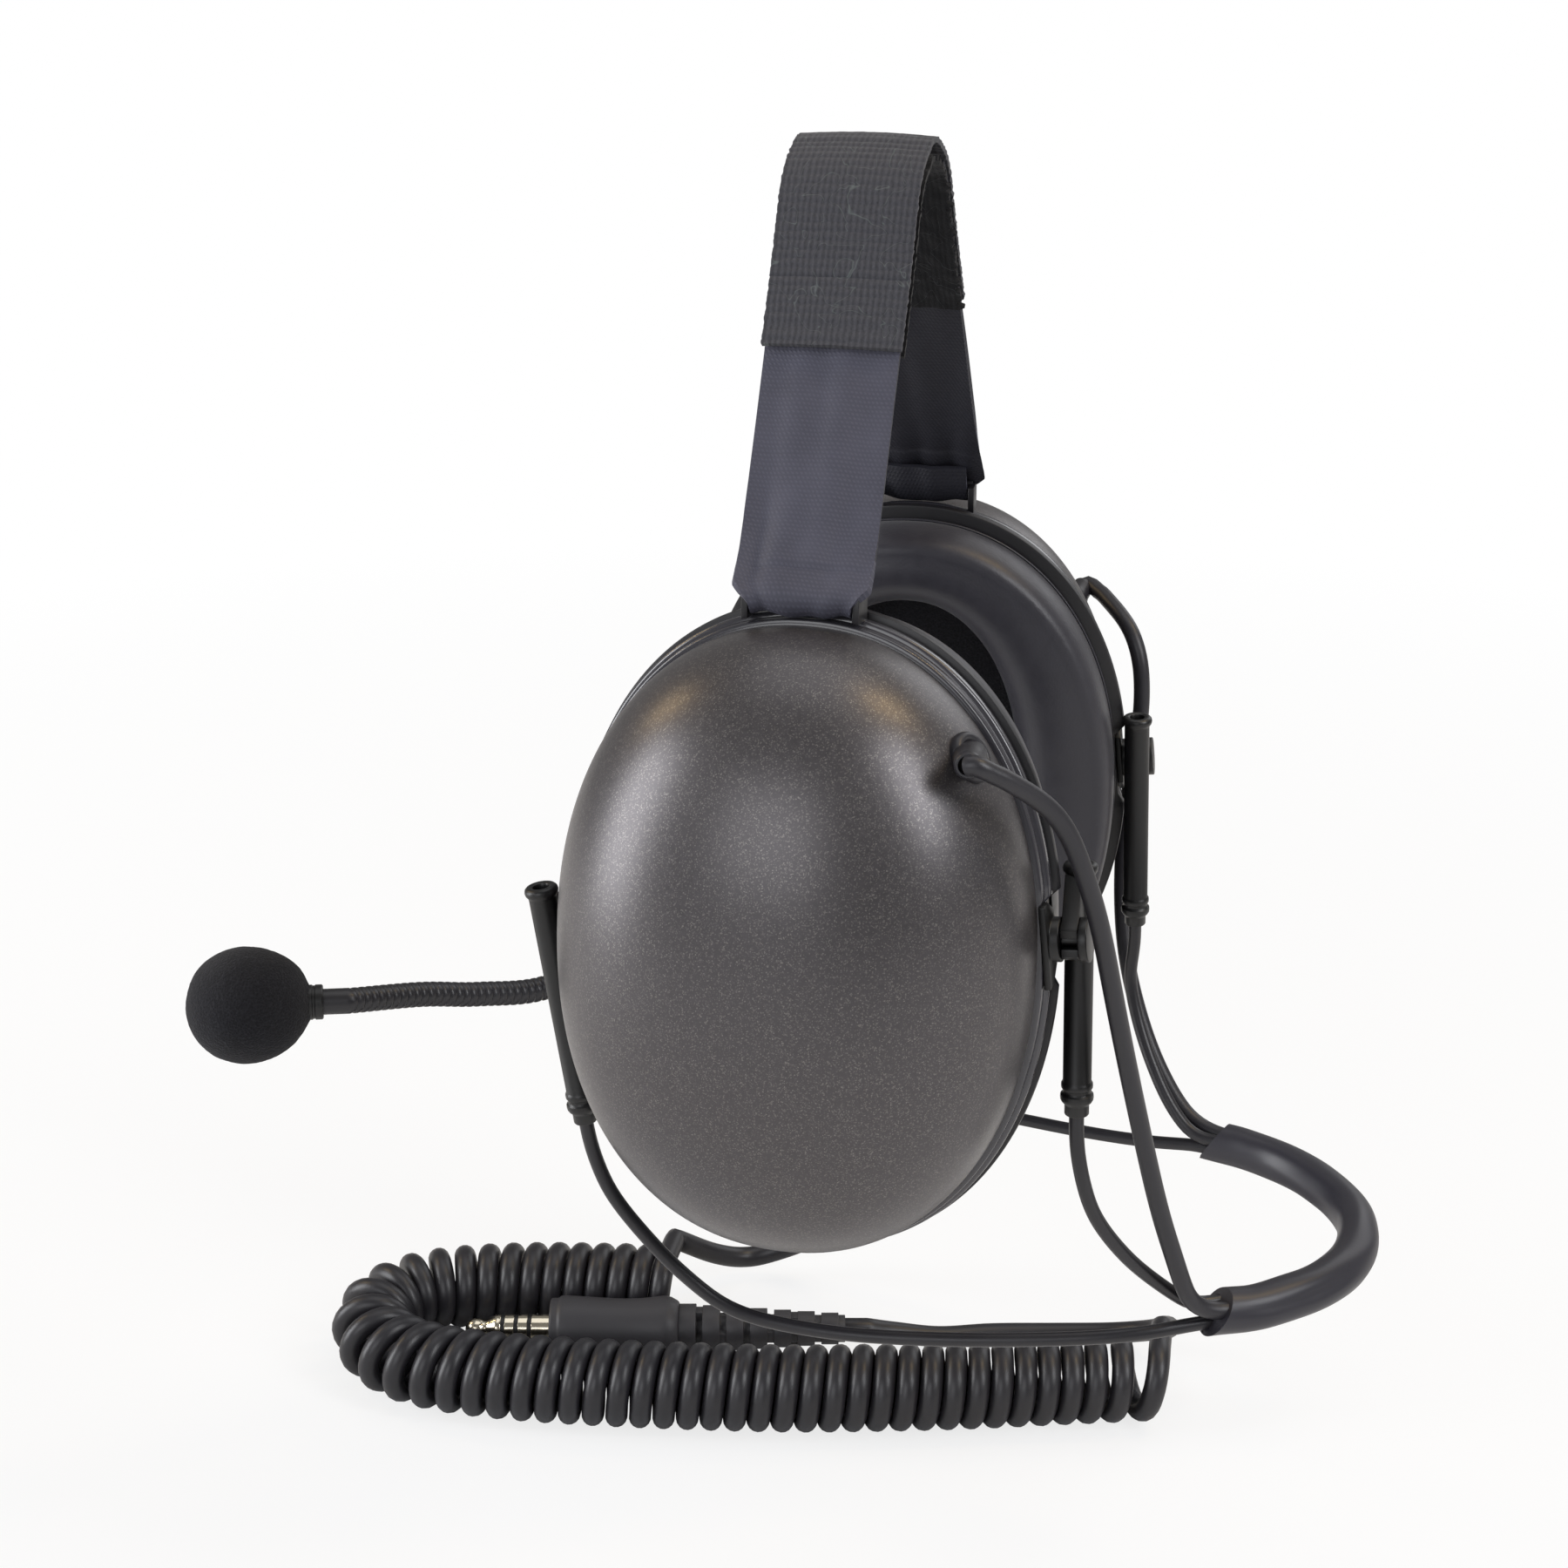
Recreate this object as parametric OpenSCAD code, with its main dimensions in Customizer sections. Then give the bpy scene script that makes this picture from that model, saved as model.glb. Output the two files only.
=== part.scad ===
// Behind-the-neck communication headset with two sealed ear cups.
// A sprung wire neckband joins the cups, a hook-and-loop strap runs over the
// head, and a gooseneck microphone and a curly cord leave the right cup.
// Millimetres. +X points to the back of the head, +Y to the wearer's right
// ear and +Z up. The origin is the middle of the head, midway between the cups.

/* [Ear cup] */
// Width of the cup's rim, front to back
rim_w = 92; // [84:1:98]
// Height of the cup's rim
rim_h = 121; // [108:1:130]
// Power of the rim's oval, 2 for a plain ellipse
oval_n = 2.16; // [2:0.02:2.4]
// Depth of the domed shell above its lip
dome_d = 37; // [32:1:42]
// Power of the dome's profile, 2 for a plain ellipse
dome_n = 2.2; // [2:0.05:2.5]
// How far the top of the dome sits above its middle
dome_rise = 2.9; // [0:0.1:4]
// Wall of the shell
shell_wall = 2.4; // [1.8:0.1:3]
// Distance of each rim from the middle of the head
cup_y = 48.4; // [46:0.2:60]
// Height of the cups' middle above the origin
cup_z = 0.8; // [-4:0.2:6]
// How far the cups' middle lies in front of the origin
cup_fwd = 1.05; // [0:0.05:3]
// Angle that the tops of the cups lean inward
cup_lean = 5.4; // [0:0.2:8]
// Angle that the fronts of the cups close inward
cup_toe = 3.5; // [0:0.5:6]
// How much higher the left cup sits on its wires than the middle setting
cup_lift = 2; // [0:0.5:2.5]

/* [Rim and cushion] */
// Thickness of the plate that the cushion snaps onto
plate_t = 2; // [1.6:0.1:2.4]
// Depth of the groove behind the plate
groove_d = 1.4; // [1:0.1:2]
// Depth of the bright band of the seal ring
band_d = 4.8; // [4:0.2:6]
// Depth of the dark seam under the shell
seam_d = 0.6; // [0.4:0.1:1]
// How far the shell's lip stands inside the rim
lip_in = 2.8; // [2.4:0.1:3.4]
// Width of the plate's flat, rim to opening
plate_land = 15; // [13:0.5:17]
// Thickness of the ear cushion
cushion_t = 15; // [12:0.5:18]
// Width of the cushion's roll, rim to hole
cushion_w = 18.5; // [16.5:0.5:20]

/* [Inside the cup] */
// Diameter of the speaker capsule
speaker_d = 40; // [32:1:44]
// Depth of the speaker capsule
speaker_t = 7; // [5:0.5:8]
// Thickness of the foam sheet over the speaker
liner_t = 3; // [2:0.5:4]
// Thickness of the speaker baffle
baffle_t = 2; // [1.6:0.2:2.6]
// Depth of the foam block in the dome
absorber_t = 14; // [8:1:16]
// Diameter of the baffle screws
screw_d = 2.2; // [1.8:0.1:2.6]

/* [Pivots and barrels] */
// Half the distance between the front and rear pivots
pivot_span = 47.9; // [47.5:0.1:50]
// Slope of the pivot line, rear end up
pivot_slope = 6.2; // [2:0.2:8]
// Diameter of the pivot spool's discs
spool_d = 8; // [7.4:0.2:9]
// Thickness of each spool disc
spool_t = 1.6; // [1.2:0.1:2]
// Gap between the spool's discs
spool_gap = 3.4; // [3:0.1:4]
// Diameter of the pivot pin
pin_d = 2.4; // [2:0.1:3]
// Outside diameter of the barrels
barrel_d = 5.2; // [5:0.1:6]
// Length of a barrel above its pivot
barrel_up = 12; // [11:0.5:14]
// Length of a barrel below its pivot
barrel_down = 36.2; // [34:0.1:38]
// Front barrel's splay, top forward
front_splay = 2.2; // [0:0.2:4]
// Rear barrel's splay, top forward
rear_splay = -4.2; // [-6:0.2:0]
// Front barrel's lean, top inward
front_lean = -1.5; // [-3:0.5:0]
// Rear barrel's lean, top inward
rear_lean = 3; // [0:0.5:4]

/* [Neckband] */
// Diameter of the plastic-coated spring wires
wire_d = 2.8; // [2.4:0.1:3]
// Outside diameter of the neck sleeve
sleeve_d = 8.8; // [8.6:0.1:10]
// Wall of the neck sleeve
sleeve_wall = 0.5; // [0.4:0.1:0.6]
// Diameter of the cable that joins the cups
link_d = 3.5; // [3:0.1:3.5]

/* [Head strap] */
// Width of the head strap
strap_w = 25.5; // [20:0.5:28]
// Height of the strap's fold above the origin
strap_top = 136; // [130:1:150]
// Thickness of the lower strap
strap_t = 1.6; // [1.2:0.1:2]
// Thickness of each hook-and-loop ply
ply_t = 1; // [0.8:0.1:1.4]
// How far the strap bulges outward halfway down
strap_bulge = 1.5; // [0:0.5:4]

/* [Boom microphone] */
// Diameter of the boom's swivel base
hub_d = 18; // [16:0.5:20]
// Diameter of the gooseneck
gooseneck_d = 5.5; // [5:0.1:6]
// Number of ribs along the gooseneck
gooseneck_ribs = 60; // [40:1:80]
// Diameter of the foam windscreen
foam_d = 27; // [24:0.5:30]
// Length of the foam windscreen
foam_l = 25; // [23:0.5:28]
// Diameter of the microphone capsule
capsule_d = 9.7; // [8:0.1:11]

/* [Curly cord] */
// Diameter of the cord
cord_d = 5.4; // [5:0.1:5.5]
// Radius of the curls, measured at the cord's centre
curl_r = 7.8; // [7.4:0.1:8.2]
// Distance from one curl to the next on a straight run
curl_pitch = 6.1; // [6.1:0.1:6.6]
// Height of the surface that the cord lies on, below the origin
cord_drop = 175; // [174:1:176]

/* [Plug] */
// Diameter of the plug's contacts
contact_d = 7.14; // [6.35:0.01:7.14]
// Length of the plug's contact stem
contact_l = 21.6; // [20.6:0.1:23]
// Diameter of the plug's body
plug_d = 16.4; // [15:0.2:17]
// Length of the plug's body
plug_l = 32.5; // [30:0.5:36]
// Length of the plug's strain relief
relief_l = 42; // [40:1:44]

/* [Hidden] */

left = -1;
right = 1;
front = -1;
rear = 1;
seg = 48;             // corners of the rim's oval
dome_rows = 12;       // rows of facets from the shell's lip to its top
fit = 0.15;           // gap between parts that slide together
pin_fit = 0.05;       // radial gap round the pivot pins
bore_fit = 0.45;      // radial gap that lets splayed barrels slide on wires
$fn = 48;

lip_y = plate_t + groove_d + band_d + seam_d;
barrel_r = barrel_d / 2;
wire_r = wire_d / 2;
pin_out = 3;          // pivot line outboard of the rim's inner face
pin_aft = 0.56;       // pivot line's middle behind the cup's middle
barrel_off = spool_d / 2 + barrel_r + 0.3;
plate_x = pivot_span - spool_gap / 2 - spool_t - 1.25;

// ---- points and frames ----

function turn_x(a, p) = [p[0], p[1] * cos(a) - p[2] * sin(a), p[1] * sin(a) + p[2] * cos(a)];
function turn_y(a, p) = [p[0] * cos(a) + p[2] * sin(a), p[1], p[2] * cos(a) - p[0] * sin(a)];
function turn_z(a, p) = [p[0] * cos(a) - p[1] * sin(a), p[0] * sin(a) + p[1] * cos(a), p[2]];
function unit(v) = v / norm(v);
function flip(side, p) = [p[0], side * p[1], p[2]];
function sgn_pow(v, e) = sign(v) * pow(abs(v), e);

// A point of a cup's own frame, x rearward, y outboard and z up, in the whole frame
function cup_point(side, p) =
  [-cup_fwd, side * cup_y, cup_z - side * cup_lift] + flip(side, turn_z(cup_toe, turn_x(cup_lean, p)));

// A point of the pivot frame, x along the pivot line, in the whole frame
function pivot_point(side, p) =
  cup_point(side, turn_x(-cup_lean, [pin_aft, pin_out, 0] + turn_y(-pivot_slope, p)));

// The front barrel stands outboard of its pivot, the rear one inboard
function splay(end) = end == front ? front_splay : rear_splay;
function lean(end) = end == front ? front_lean : rear_lean;

// A point on the axis of a barrel, h above its pivot
function barrel_point(side, end, h) =
  pivot_point(side, [end * pivot_span, 0, 0]
    + turn_x(lean(end), turn_y(-splay(end), [0, 0, h]) + [0, -end * barrel_off, 0]));

module at_cup(side)
  translate([-cup_fwd, side * cup_y, cup_z - side * cup_lift])
    mirror([0, side < 0 ? 1 : 0, 0])
      rotate([0, 0, cup_toe])
        rotate([cup_lean, 0, 0])
          children();

module at_pivots()
  rotate([-cup_lean, 0, 0])
    translate([pin_aft, pin_out, 0])
      rotate([0, -pivot_slope, 0])
        children();

module at_barrel(end)
  translate([end * pivot_span, 0, 0])
    rotate([lean(end), 0, 0])
      translate([0, -end * barrel_off, 0])
        rotate([0, -splay(end), 0])
          children();

// ---- smooth curves and tubes ----

function spline(p, i, t) =
  let (
    a = i > 0 ? p[i - 1] : 2 * p[0] - p[1],
    b = p[i],
    c = p[i + 1],
    d = i + 2 < len(p) ? p[i + 2] : 2 * p[i + 1] - p[i]
  )
  b + 0.5 * t * (c - a + t * (2 * a - 5 * b + 4 * c - d + t * (3 * (b - c) + d - a)));

function smooth(p, steps) = concat(
  [for (i = [0:len(p) - 2]) for (k = [0:steps - 1]) spline(p, i, k / steps)],
  [p[len(p) - 1]]
);

function heading(p, i) =
  i == 0 ? unit(p[1] - p[0]) :
  i == len(p) - 1 ? unit(p[i] - p[i - 1]) :
  unit(unit(p[i + 1] - p[i]) + unit(p[i] - p[i - 1]));

function square_to(v, n) = unit(n - (n * v) * v);

function side_vectors(p) =
  let (first = heading(p, 0))
  [for (
    i = 0, n = square_to(first, abs(first[2]) < 0.8 ? [0, 0, 1] : [1, 0, 0]);
    i < len(p);
    i = i + 1, n = i < len(p) ? square_to(heading(p, i), n) : n
  ) n];

function ring(c, n, v, r, sides) =
  let (b = cross(v, n)) [for (k = [0:sides - 1]) c + r * (cos(360 * k / sides) * n + sin(360 * k / sides) * b)];

function flat(lists) = [for (l = lists) for (e = l) e];

function skin(rows, m, base = 0) =
  [for (i = [0:rows - 2]) for (k = [0:m - 1])
    let (a = base + i * m + k, b = base + i * m + (k + 1) % m)
    each [[a, b + m, b], [a, a + m, b + m]]];

function cap(start, m, back = false) =
  [for (k = [1:m - 2]) back ? [start, start + k + 1, start + k] : [start, start + k, start + k + 1]];

// A round bar along points, with a radius for each point
module swept(p, radii, sides, normals = []) {
  n = len(normals) > 0 ? normals : side_vectors(p);
  rows = len(p);
  polyhedron(
    flat([for (i = [0:rows - 1]) ring(p[i], n[i], heading(p, i), radii[i], sides)]),
    concat(skin(rows, sides), cap(0, sides), cap((rows - 1) * sides, sides, true))
  );
}

module cable(p, r, sides = 8)
  swept(p, [for (q = p) r], sides);

// A tube with an open bore along points
module hose(p, r_out, r_in, sides) {
  n = side_vectors(p);
  rows = len(p);
  m = rows * sides;
  rim = [for (k = [0:sides - 1]) let (j = (k + 1) % sides) each [[k, j, m + j], [k, m + j, m + k]]];
  last = (rows - 1) * sides;
  end_rim = [for (k = [0:sides - 1]) let (j = (k + 1) % sides)
    each [[last + k, m + last + j, last + j], [last + k, m + last + k, m + last + j]]];
  polyhedron(
    concat(
      flat([for (i = [0:rows - 1]) ring(p[i], n[i], heading(p, i), r_out, sides)]),
      flat([for (i = [0:rows - 1]) ring(p[i], n[i], heading(p, i), r_in, sides)])
    ),
    concat(skin(rows, sides), [for (f = skin(rows, sides, m)) [f[0], f[2], f[1]]], rim, end_rim)
  );
}

// ---- cup ----

function oval(inset) =
  [for (k = [0:seg - 1]) let (t = 360 * k / seg)
    [(rim_w / 2 - inset) * sgn_pow(cos(t), 2 / oval_n), -(rim_h / 2 - inset) * sgn_pow(sin(t), 2 / oval_n)]];

// Stands a flat outline up in the cup, from y0 to y1 outboard
module slab(y0, y1)
  rotate([90, 0, 0])
    translate([0, 0, -y1])
      linear_extrude(y1 - y0)
        children();

module oval_ring(y0, y1, inset, opening)
  slab(y0, y1) difference() {
    polygon(oval(inset));
    polygon(oval(opening));
  }

function dome_row(inset, depth, v) =
  let (c = pow(cos(v), 2 / dome_n), h = pow(sin(v), 2 / dome_n))
  [for (q = oval(lip_in + inset)) [q[0] * c, lip_y + depth * h, q[1] * c + dome_rise * h]];

// The shell is a dome, with a hole for each piece that a cord goes in by
module shell(side)
  difference() {
    dome();
    translate(grommet_seat(side))
      along(grommet_dir)
        translate([0, 0, -12])
          cylinder(d = grommet_core_d + 2 * pin_fit, h = 16);
    if (side == right)
      translate([gland_x, gland_y, gland_z])
        translate([0, 0, -4])
          cylinder(d = gland_core_d + 2 * pin_fit, h = 12);
  }

// The dome runs from its lip to a point on its top, outside and then inside
module dome() {
  rows = dome_rows;
  m = seg;
  angles = [for (i = [0:rows - 1]) 90 * i / rows];
  outside = flat([for (v = angles) dome_row(0, dome_d, v)]);
  inside = flat([for (v = angles) dome_row(shell_wall, dome_d - shell_wall, v)]);
  top = 2 * rows * m;
  last = (rows - 1) * m;
  inner = rows * m;
  polyhedron(
    concat(outside, inside, [[0, lip_y + dome_d, dome_rise], [0, lip_y + dome_d - shell_wall, dome_rise]]),
    concat(
      skin(rows, m),
      [for (f = skin(rows, m, inner)) [f[0], f[2], f[1]]],
      [for (k = [0:m - 1]) let (j = (k + 1) % m) each [[k, j, inner + j], [k, inner + j, inner + k]]],
      [for (k = [0:m - 1]) [last + (k + 1) % m, last + k, top]],
      [for (k = [0:m - 1]) [inner + last + k, inner + last + (k + 1) % m, top + 1]]
    )
  );
}

// The flats on the rim's front and rear where the brackets sit. The front one
// runs on down, to leave the barrel outside it room to tilt.
module bracket_pockets()
  at_pivots() {
    for (end = [front, rear])
      translate([end * (plate_x + 5), 0, 0])
        cube([10, 30, 16.6], center = true);
    translate([-plate_x - 5, 0, -14])
      cube([10, 30, 28], center = true);
  }

ring_opening = 6;
ledge_opening = 12;
liner_y = plate_t;
baffle_y = liner_y + liner_t;
ledge_y = baffle_y + baffle_t;
speaker_y = ledge_y;
absorber_y = speaker_y + speaker_t;
screw_inset = 9;
screw_spots = [for (t = [40, 140, 220, 320])
  [(rim_w / 2 - screw_inset) * cos(t), (rim_h / 2 - screw_inset) * sin(t)]];
screw_head_d = 4.2;
screw_head_t = 1.2;

module seal_ring()
  difference() {
    union() {
      oval_ring(plate_t, plate_t + groove_d, 1.8, ring_opening);
      oval_ring(plate_t + groove_d, plate_t + groove_d + band_d / 2, 0.8, ring_opening);
      oval_ring(plate_t + groove_d + band_d / 2, lip_y - seam_d, 1.8, ring_opening);
      oval_ring(lip_y - seam_d, lip_y, lip_in + 0.6, ring_opening);
      oval_ring(ledge_y, lip_y, ring_opening - 0.5, ledge_opening);
    }
    bracket_pockets();
    for (s = screw_spots)
      translate([s[0], ledge_y - 1, s[1]])
        rotate([-90, 0, 0])
          cylinder(d = screw_d + 2 * pin_fit, h = lip_y);
  }

module cushion_plate()
  difference() {
    oval_ring(0, plate_t, 0, plate_land);
    bracket_pockets();
  }

// Roll of the cushion: how far inside the rim, and how far along its thickness
cushion_roll = [
  [3.6, 0], [2.6, 0.14], [2.4, 0.42], [2.9, 0.66], [4.6, 0.86], [7.6, 0.97],
  [11, 1], [14, 0.93], [16.4, 0.78], [17.7, 0.55], [18.3, 0.28], [18.5, 0]
];

module cushion() {
  m = len(cushion_roll);
  k = cushion_w / 18.5;
  points = flat([for (i = [0:seg - 1])
    [for (r = cushion_roll) let (q = oval(r[0] * k)[i]) [q[0], -cushion_t * r[1], q[1]]]]);
  polyhedron(points, [for (i = [0:seg - 1]) for (j = [0:m - 1])
    let (a = i * m, b = ((i + 1) % seg) * m, c = (j + 1) % m)
    each [[a + j, b + j, b + c], [a + j, b + c, a + c]]]);
}

module foam_liner()
  slab(liner_y, liner_y + liner_t)
    polygon(oval(plate_land - 1.5));

module baffle()
  slab(baffle_y, ledge_y)
    difference() {
      polygon(oval(ring_opening + fit));
      for (s = screw_spots)
        translate(s)
          circle(d = screw_d + 2 * pin_fit);
      for (a = [0:30:330])
        rotate(a)
          translate([speaker_d / 2 - 7, 0])
            circle(d = 3);
      for (a = [0:60:300])
        rotate(a)
          translate([speaker_d / 5, 0])
            circle(d = 3);
      for (z = [-1, 1])
        translate([0, z * (rim_h / 2 - 21)])
          circle(d = 6);
    }

module speaker()
  translate([0, speaker_y, 0])
    rotate([-90, 0, 0]) {
      cylinder(d = speaker_d, h = speaker_t * 0.6);
      cylinder(d = speaker_d * 0.62, h = speaker_t);
    }

module absorber()
  slab(absorber_y, absorber_y + absorber_t)
    polygon(oval(20));

module baffle_screws()
  for (s = screw_spots)
    translate([s[0], baffle_y, s[1]])
      rotate([-90, 0, 0]) {
        translate([0, 0, -screw_head_t])
          cylinder(d = screw_head_d, h = screw_head_t);
        cylinder(d = screw_d, h = lip_y - baffle_y);
      }

// The spool that a barrel clips onto, on a plate fixed to the rim
plate_foot = 1.25;
module bracket(end)
  at_pivots()
    mirror([end == front ? 1 : 0, 0, 0]) {
      translate([plate_x, 0, 0])
        rotate([90, 0, 90])
          linear_extrude(plate_foot)
            polygon([[-2.1, -5], [-2.1, 5], [2, 7.8], [4.8, 7.8], [4.8, -7.8], [2, -7.8]]);
      translate([plate_x + plate_foot, 0, 0])
        rotate([0, 90, 0]) {
          cylinder(d = spool_d, h = spool_t);
          cylinder(d = pin_d, h = 2 * spool_t + spool_gap);
          translate([0, 0, spool_t + spool_gap])
            cylinder(d = spool_d, h = spool_t);
        }
    }

// ---- barrels, which clip onto the spools and slide on the wires ----

jaw_w = spool_gap - 2 * fit;
flange_r = barrel_r + 0.55;
rib_r = barrel_r + 0.45;
neck_r = wire_r + bore_fit + 0.4;
vent_d = 2.8;         // hole in the barrel's top
barrel_foot = -barrel_down;
barrel_profile = [
  [0, barrel_up], [flange_r - 0.9, barrel_up], [flange_r - 0.2, barrel_up - 0.5],
  [flange_r, barrel_up - 1.1], [flange_r - 0.2, barrel_up - 1.7], [barrel_r, barrel_up - 2],
  [barrel_r, barrel_foot + 6.6], [rib_r - 0.2, barrel_foot + 6.3], [rib_r - 0.2, barrel_foot + 5.3],
  [barrel_r, barrel_foot + 5], [barrel_r, barrel_foot + 4.4], [rib_r, barrel_foot + 4],
  [rib_r, barrel_foot + 3.1], [rib_r - 0.5, barrel_foot + 2.4], [neck_r, barrel_foot + 2.1],
  [neck_r, barrel_foot], [0, barrel_foot]
];
module barrel(end)
  at_pivots()
    difference() {
      union() {
        at_barrel(end)
          rotate_extrude()
            polygon(barrel_profile);
        translate([end * pivot_span, 0, 0])
          rotate([lean(end), 0, 0])
            mirror([0, end == front ? 1 : 0, 0])
              rotate([90, 0, 90])
                linear_extrude(jaw_w, center = true)
                  polygon([
                    [-barrel_off, 10.4], [-barrel_off + 1.8, 10.4], [0.6, 3.4], [2.6, 2.6], [2.6, -2.6],
                    [0.6, -3.4], [-barrel_off + 2.2, -5.4], [-barrel_off, -5.4]
                  ]);
      }
      at_barrel(end) {
        translate([0, 0, barrel_foot - 1])
          cylinder(r = wire_r + bore_fit, h = barrel_down + barrel_up - 1);
        cylinder(d = vent_d, h = barrel_up + 1);
      }
      translate([end * pivot_span, 0, 0])
        rotate([lean(end), 0, 0]) {
          rotate([0, 90, 0])
            cylinder(r = pin_d / 2 + pin_fit, h = jaw_w + 1, center = true);
          translate([2.5, 2 * end, 0])
            cube([10, 4, pin_d * 0.75], center = true);
        }
    }

// ---- neckband ----

sleeve_r = sleeve_d / 2;
sleeve_bore = sleeve_r - sleeve_wall;
// The sleeve's middle line from each mouth to its middle behind the neck
sleeve_left = [[75, -35, -74.8], [84, -30, -75], [93, -21, -75.2], [98.7, -11, -75.4], [100.4, 0, -75.5]];
sleeve_right = [[69, 37.2, -76.6], [76.5, 34.4, -76.5], [85, 29.4, -76.4], [93, 21, -76], [98.7, 11, -75.7], [100.4, 0, -75.5]];
sleeve_line = concat(sleeve_left, [for (i = [len(sleeve_right) - 2:-1:0]) sleeve_right[i]]);
// Where each wire and the cable lie in the sleeve: outward from its middle line, and up
front_lane = [-0.1, -2.15];
rear_lane = [-1.95, 1.1];
link_lane = [1.4, 1];
mouth_run = 4;        // straight run ahead of the sleeve's mouth

function lane(side, offset) =
  let (line = side == left ? sleeve_left : sleeve_right, last = len(line) - 1)
  [for (i = [0:last])
    let (
      v = i == last ? [0, -side, 0] : unit(line[i + 1] - line[max(i - 1, 0)]),
      out = side * unit([-v[1], v[0], 0])
    )
    line[i] + offset[0] * out + [0, 0, offset[1]]];

// Through the sleeve, from ahead of its mouth to just short of its middle
function lane_line(side, offset) =
  let (line = lane(side, offset), last = len(line) - 1)
  concat(
    [line[0] - mouth_run * unit(line[1] - line[0])],
    [for (i = [0:last - 1]) line[i]],
    [line[last] + [0, side * 3, 0], line[last] + [0, side * 0.4, 0]]
  );

// The wires hang from the barrels, drop below the cups and turn into the sleeve
left_front_route = [
  [-39, -55, -52.2], [-32.5, -54.8, -61], [-24.1, -54, -70], [-14.2, -53, -76.9], [2.8, -51, -80],
  [23, -48.5, -80.2], [44, -45.5, -79], [60, -42.3, -77.6]
];
right_front_route = [
  [-38.8, 55, -55.3], [-32, 54.6, -64], [-23.5, 53.6, -72.6], [-12, 52, -78.4], [4, 49.4, -80.8],
  [23, 46.6, -81.2], [41, 43.4, -81.2], [55, 40.8, -80.4]
];
left_rear_route = [[49.8, -50, -40.2], [52.4, -48.2, -49.6], [57.8, -44.4, -59.2], [63.8, -39.8, -67]];
right_rear_route = [[48, 49.6, -46], [50.9, 46.8, -56], [55.2, 42.4, -64.5], [59.6, 39, -71]];
wire_top = 4;
wire_foot = -barrel_down - 3;
function band_route(side, end) =
  side == left ? (end == front ? left_front_route : left_rear_route)
    : (end == front ? right_front_route : right_rear_route);

function wire_line(side, end) = concat(
  [barrel_point(side, end, -barrel_down + 1), barrel_point(side, end, wire_foot)],
  smooth(concat(
    [barrel_point(side, end, wire_foot - 2)],
    band_route(side, end),
    lane_line(side, end == front ? front_lane : rear_lane)
  ), 2)
);

// The straight top of the wire is round, the rest follows its route
module band_wire(side, end) {
  at_cup(side)
    at_pivots()
      at_barrel(end)
        translate([0, 0, -barrel_down])
          cylinder(r = wire_r, h = barrel_down + wire_top);
  cable(wire_line(side, end), wire_r - 0.02);
}

// The cable leaves a grommet on the shell and enters the sleeve above the wires
function grommet_spot(side) = side == left ? [28.5, 38.5] : [28, 29];
grommet_dir = unit([0.74, 0.46, 0.4]);
grommet_l = 7;
grommet_core_d = 6.8;
function dome_point(x, z) =
  let (
    a = rim_w / 2 - lip_in,
    b = rim_h / 2 - lip_in,
    c = pow(pow(abs(x) / a, oval_n) + pow(abs(z - dome_rise * 0.4) / b, oval_n), 1 / oval_n),
    v = acos(min(1, pow(c, dome_n / 2)))
  )
  [x, lip_y + dome_d * pow(sin(v), 2 / dome_n), z];
function grommet_seat(side) = dome_point(grommet_spot(side)[0], grommet_spot(side)[1]);
left_link_route = [
  [44.5, -68, 37.1], [48.9, -65, 27], [52.2, -61, 14.4], [55, -56, -2.4], [58.4, -51, -21.5],
  [63.7, -45, -47.7], [67.8, -41.8, -62.5], [70, -39.9, -70.2]
];
right_link_route = [
  [43.6, 68.4, 21.5], [45.2, 66, 11], [44.3, 63.6, -7], [44, 60.6, -25], [46.4, 54.6, -43],
  [52.8, 48.6, -60.4], [60.4, 43, -71.6]
];
function link_line(side) =
  let (
    root = cup_point(side, grommet_seat(side) + grommet_l * grommet_dir),
    away = cup_point(side, grommet_seat(side) + (grommet_l + 2) * grommet_dir)
  )
  concat(
    [root],
    smooth(concat(
      [away],
      side == left ? left_link_route : right_link_route,
      lane_line(side, link_lane)
    ), 2)
  );

module along(dir)
  rotate([0, acos(dir[2]), atan2(dir[1], dir[0])])
    children();

module grommet(side)
  union() {
    difference() {
      translate(grommet_seat(side))
        along(grommet_dir)
          translate([0, 0, -3])
            cylinder(d = 10.4, h = 4.6);
      dome_core();
    }
    translate(grommet_seat(side))
      along(grommet_dir) {
        translate([0, 0, -5])
          cylinder(d = grommet_core_d, h = 6);
        cylinder(d = 6.4, h = 4);
        cylinder(d = link_d + 1.6, h = grommet_l);
      }
  }

// ---- head strap ----

bar_d = 3;
bar_z = rim_h / 2 + 1.9;
bar_y = plate_t + groove_d + band_d - 0.2;
foot_w = 21.4;        // the strap is gathered to this width above the bar
loop_w = 18.2;        // and passes round the bar between the bar's ears
ear_t = 1.2;
ear_x = loop_w / 2 + 0.3;
strap_skew = 0.03;    // how far the strap drifts rearward for each mm to the right
strap_fwd = 1.4;      // how far the strap's fold stands forward of the cups' middle
bar_shift = strap_skew * cup_y;
function bar_point(side, x) = cup_point(side, [x, bar_y, bar_z]);

module strap_anchor(side)
  difference() {
    translate([side * bar_shift, 0, 0]) {
      translate([-ear_x - ear_t / 2, bar_y, bar_z])
        rotate([0, 90, 0])
          cylinder(d = bar_d, h = 2 * ear_x + ear_t);
      for (s = [-1, 1])
        translate([s * (ear_x + ear_t / 2), bar_y - 1.2, bar_z - 4.5])
          cube([ear_t, 5.8, 10.8], center = true);
    }
    slab(-1, 12)
      polygon(oval(0.8));
  }

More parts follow.
